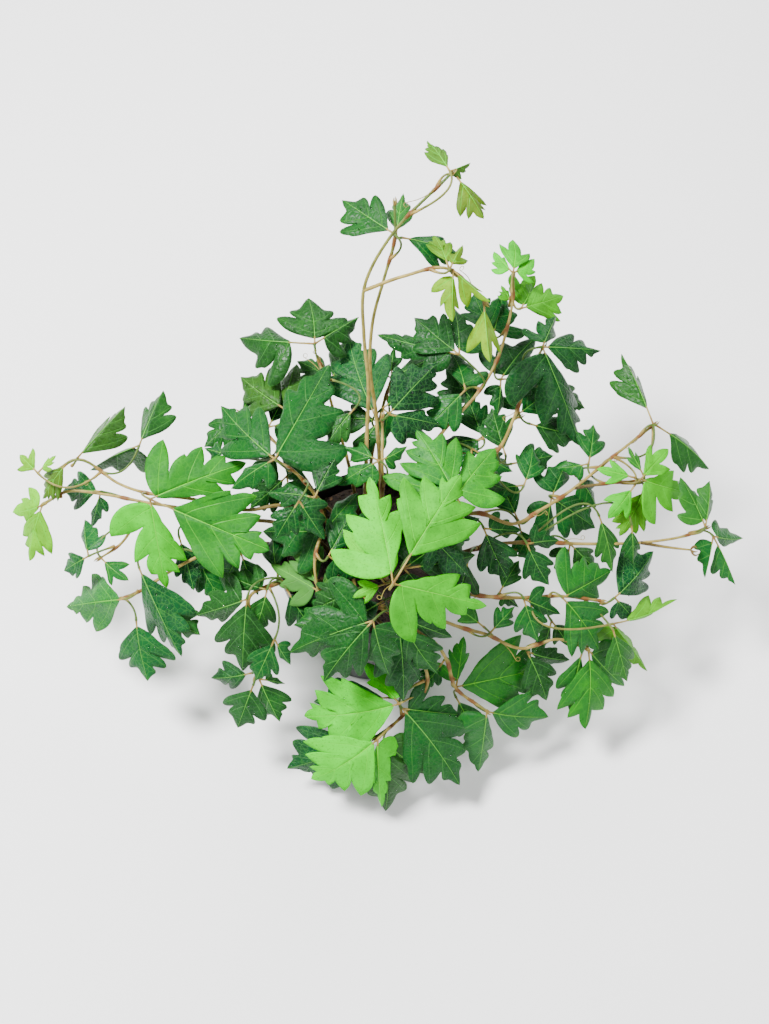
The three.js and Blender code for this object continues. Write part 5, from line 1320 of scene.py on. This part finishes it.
def shoot_finish():
    """Straw-coloured shoots, green petioles, brown wood, red-brown nodes and pale midribs."""
    look = Finish("grape_ivy_shoot", Specular_IOR_Level=0.25)
    place = look.place()
    grain = look.noise(place, 900.0, 4.0)
    patch = look.span(look.noise(place, 160.0, 3.0), 0.35, 0.65)
    green = look.mixed(patch, (0.035, 0.085, 0.010), (0.070, 0.120, 0.018))
    straw = look.mixed(patch, (0.200, 0.150, 0.030), (0.330, 0.250, 0.060))
    tan = look.mixed(look.span(grain, 0.35, 0.65), (0.036, 0.024, 0.006), (0.095, 0.066, 0.017))
    wood, rib, blush = (look.attribute(name) for name in ("wood", "rib", "blush"))
    bark = look.mixed(look.span(wood, 0.12, 0.4), green, straw)
    bark = look.mixed(look.span(wood, 0.45, 0.95), bark, tan)
    bark = look.mixed(look.span(rib, 0.02, 0.2), bark, look.ramp(rib, RIB_AGES))
    bark = look.mixed(look.span(blush, 0.1, 0.8, 0.0, 0.85), bark, (0.130, 0.036, 0.008))
    look.set(Base_Color=bark, Roughness=look.span(grain, 0.3, 0.7, 0.42, 0.62),
             Normal=look.bump(grain, 0.35, 0.0006))
    return look.material


def pot_finish():
    """Black moulded plastic, dusty and finely scuffed."""
    look = Finish("black_plastic_pot", Specular_IOR_Level=0.4)
    place = look.place()
    dust = look.noise(place, 45.0, 5.0)
    dusty = look.span(dust, 0.45, 0.75, 0.0, 0.35)
    look.set(Base_Color=look.mixed(dusty, (0.006, 0.006, 0.007), (0.028, 0.025, 0.021)),
             Roughness=look.span(dust, 0.35, 0.7, 0.36, 0.58),
             Normal=look.bump(look.noise(place, 1400.0, 3.0), 0.2, 0.0004))
    return look.material


def peat_finish():
    """Dark moist fibrous peat."""
    look = Finish("potting_peat")
    place = look.place()
    lump = look.noise(place, 260.0, 6.0, 0.65)
    fibre = look.noise(place, 1500.0, 4.0, 0.6)
    look.set(Base_Color=look.ramp(lump, PEAT_LUMPS),
             Roughness=look.span(fibre, 0.3, 0.7, 0.7, 0.95),
             Normal=look.bump(fibre, 0.7, 0.0008, look.bump(lump, 0.9, 0.0022)))
    return look.material


def bark_finish():
    """Chips of pine bark."""
    look = Finish("bark_chips")
    layer = look.noise(look.place(), 420.0, 5.0, 0.7)
    look.set(Base_Color=look.ramp(layer, BARK_LAYERS), Normal=look.bump(layer, 0.7, 0.0012),
             Roughness=look.span(layer, 0.3, 0.7, 0.6, 0.9))
    return look.material


def water_finish():
    """Clear water standing in drops."""
    look = Finish("water_drops", IOR=1.33, Roughness=0.02, Transmission_Weight=1.0)
    swirl = look.span(look.noise(look.place(), 300.0, 1.0), 0.3, 0.7)
    look.set(Base_Color=look.mixed(swirl, (0.93, 0.97, 0.95), (1.0, 1.0, 1.0)))
    return look.material


# ---- The plant put together ----

def flat_copy(source):
    """A merged copy of a CAD node's mesh, for a tree to work from."""
    work = bmesh.new()
    work.from_mesh(source.data)
    work.transform(source.matrix_world)
    bmesh.ops.remove_doubles(work, verts=work.verts[:], dist=1e-6)
    mesh = bpy.data.meshes.new("copy")
    work.to_mesh(mesh)
    work.free()
    return placed("copy", mesh)


def joined(name, parts):
    """One piece out of several, which become part of it."""
    with bpy.context.temp_override(active_object=parts[0], selected_editable_objects=parts):
        bpy.ops.object.join()
    parts[0].name = name
    return parts[0]


stems = [Stem(index, **data) for index, data in enumerate(LEAFY_STEMS)]
leaf_skin = leaf_finish()
shoot_skin = shoot_finish()
water = water_finish()
sweep = sweep_tree(shoot_skin)
drops_tree = scatter_tree("drops", bead, water, (1.0, 1.0, 0.5), wet_upper)
drops = []
for number, stem in enumerate(stems):
    blades = blades_of(stem, leaf_skin)
    drops.append(strewn(blades, "drops_" + stem.name, drops_tree, DROPS, DROP_SEED + number, water))
    shoots = shoots_of(stem, sweep, shoot_skin)
    for piece in (blades, shoots):
        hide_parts(stem.node)
        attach(piece, "root")

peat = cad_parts["peat"]
peat_skin = peat_finish()
for holder in peat.material_slots:
    holder.material = peat_skin
bed = flat_copy(peat)
bark_skin = bark_finish()
for name, shape, skin, flatness, kind in (
        ("peat_crumbs", crumb, peat_skin, (1.0, 0.8, 0.7), CRUMBS),
        ("bark_chips", chip, bark_skin, (1.0, 0.6, 0.5), CHIPS)):
    tree = scatter_tree(name, shape, skin, flatness, facing_up)
    litter = strewn(bed, name, tree, kind, PEAT_SEED, skin)
    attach(litter, "root")
bpy.data.objects.remove(bed)

dew = joined("water_drops", drops)
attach(dew, "root")

pot = pot_piece(pot_finish())
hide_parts("pot")
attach(pot, "root")

# ---- Floor, light and camera ----

FLOOR_SIZE = 8
WORLD_LIGHT = 0.45
# Each lamp's place, its size and its power. They all aim at the middle of the plant.
LAMPS = {
    "key_light": ((-0.7, 0.1, 1.5), 0.4, 80),
    "fill_light": ((1.1, -0.9, 1.1), 1.2, 20),
    "back_light": ((0.3, 1.2, 1.1), 0.8, 18),
}
AIM = Vector((0, 0, 0.1))
SENSOR = 36
BOARD_MM_PER_PIXEL = 0.65
FRAME_HEIGHT = 1024


def studio():
    """A plain pale floor and soft light."""
    bpy.ops.mesh.primitive_plane_add(size=FLOOR_SIZE, location=(0, 0, 0))
    floor = bpy.context.object
    floor.name = "studio_floor"
    look = Finish("studio_floor", Roughness=0.9)
    haze = look.span(look.noise(look.place(), 3.0), 0.3, 0.7)
    look.set(Base_Color=look.mixed(haze, (0.90, 0.90, 0.90), (0.92, 0.92, 0.92)))
    floor.data.materials.append(look.material)

    world = bpy.data.worlds.new("studio")
    bpy.context.scene.world = world
    world.use_nodes = True
    background = world.node_tree.nodes["Background"].inputs
    background["Color"].default_value = (1, 1, 1, 1)
    background["Strength"].default_value = WORLD_LIGHT

    for name, (place, size, power) in LAMPS.items():
        light = bpy.data.lights.new(name, "AREA")
        light.shape = "DISK"
        light.size = size
        light.energy = power
        holder = placed(name, light)
        holder.location = place
        holder.rotation_euler = (AIM - Vector(place)).to_track_quat("-Z", "Y").to_euler()


def camera():
    """An eye that sees the board at its own scale."""
    lens = bpy.data.cameras.new("camera")
    lens.sensor_width = SENSOR
    lens.sensor_fit = "AUTO"
    lens.lens = SENSOR * EYE_DISTANCE / (BOARD_MM_PER_PIXEL * FRAME_HEIGHT)
    holder = placed("camera", lens)
    turn = Matrix((ACROSS, UP, OUT)).transposed().to_4x4()
    holder.matrix_world = Matrix.Translation(Vector(EYE * MM)) @ turn
    bpy.context.scene.camera = holder


studio()
camera()
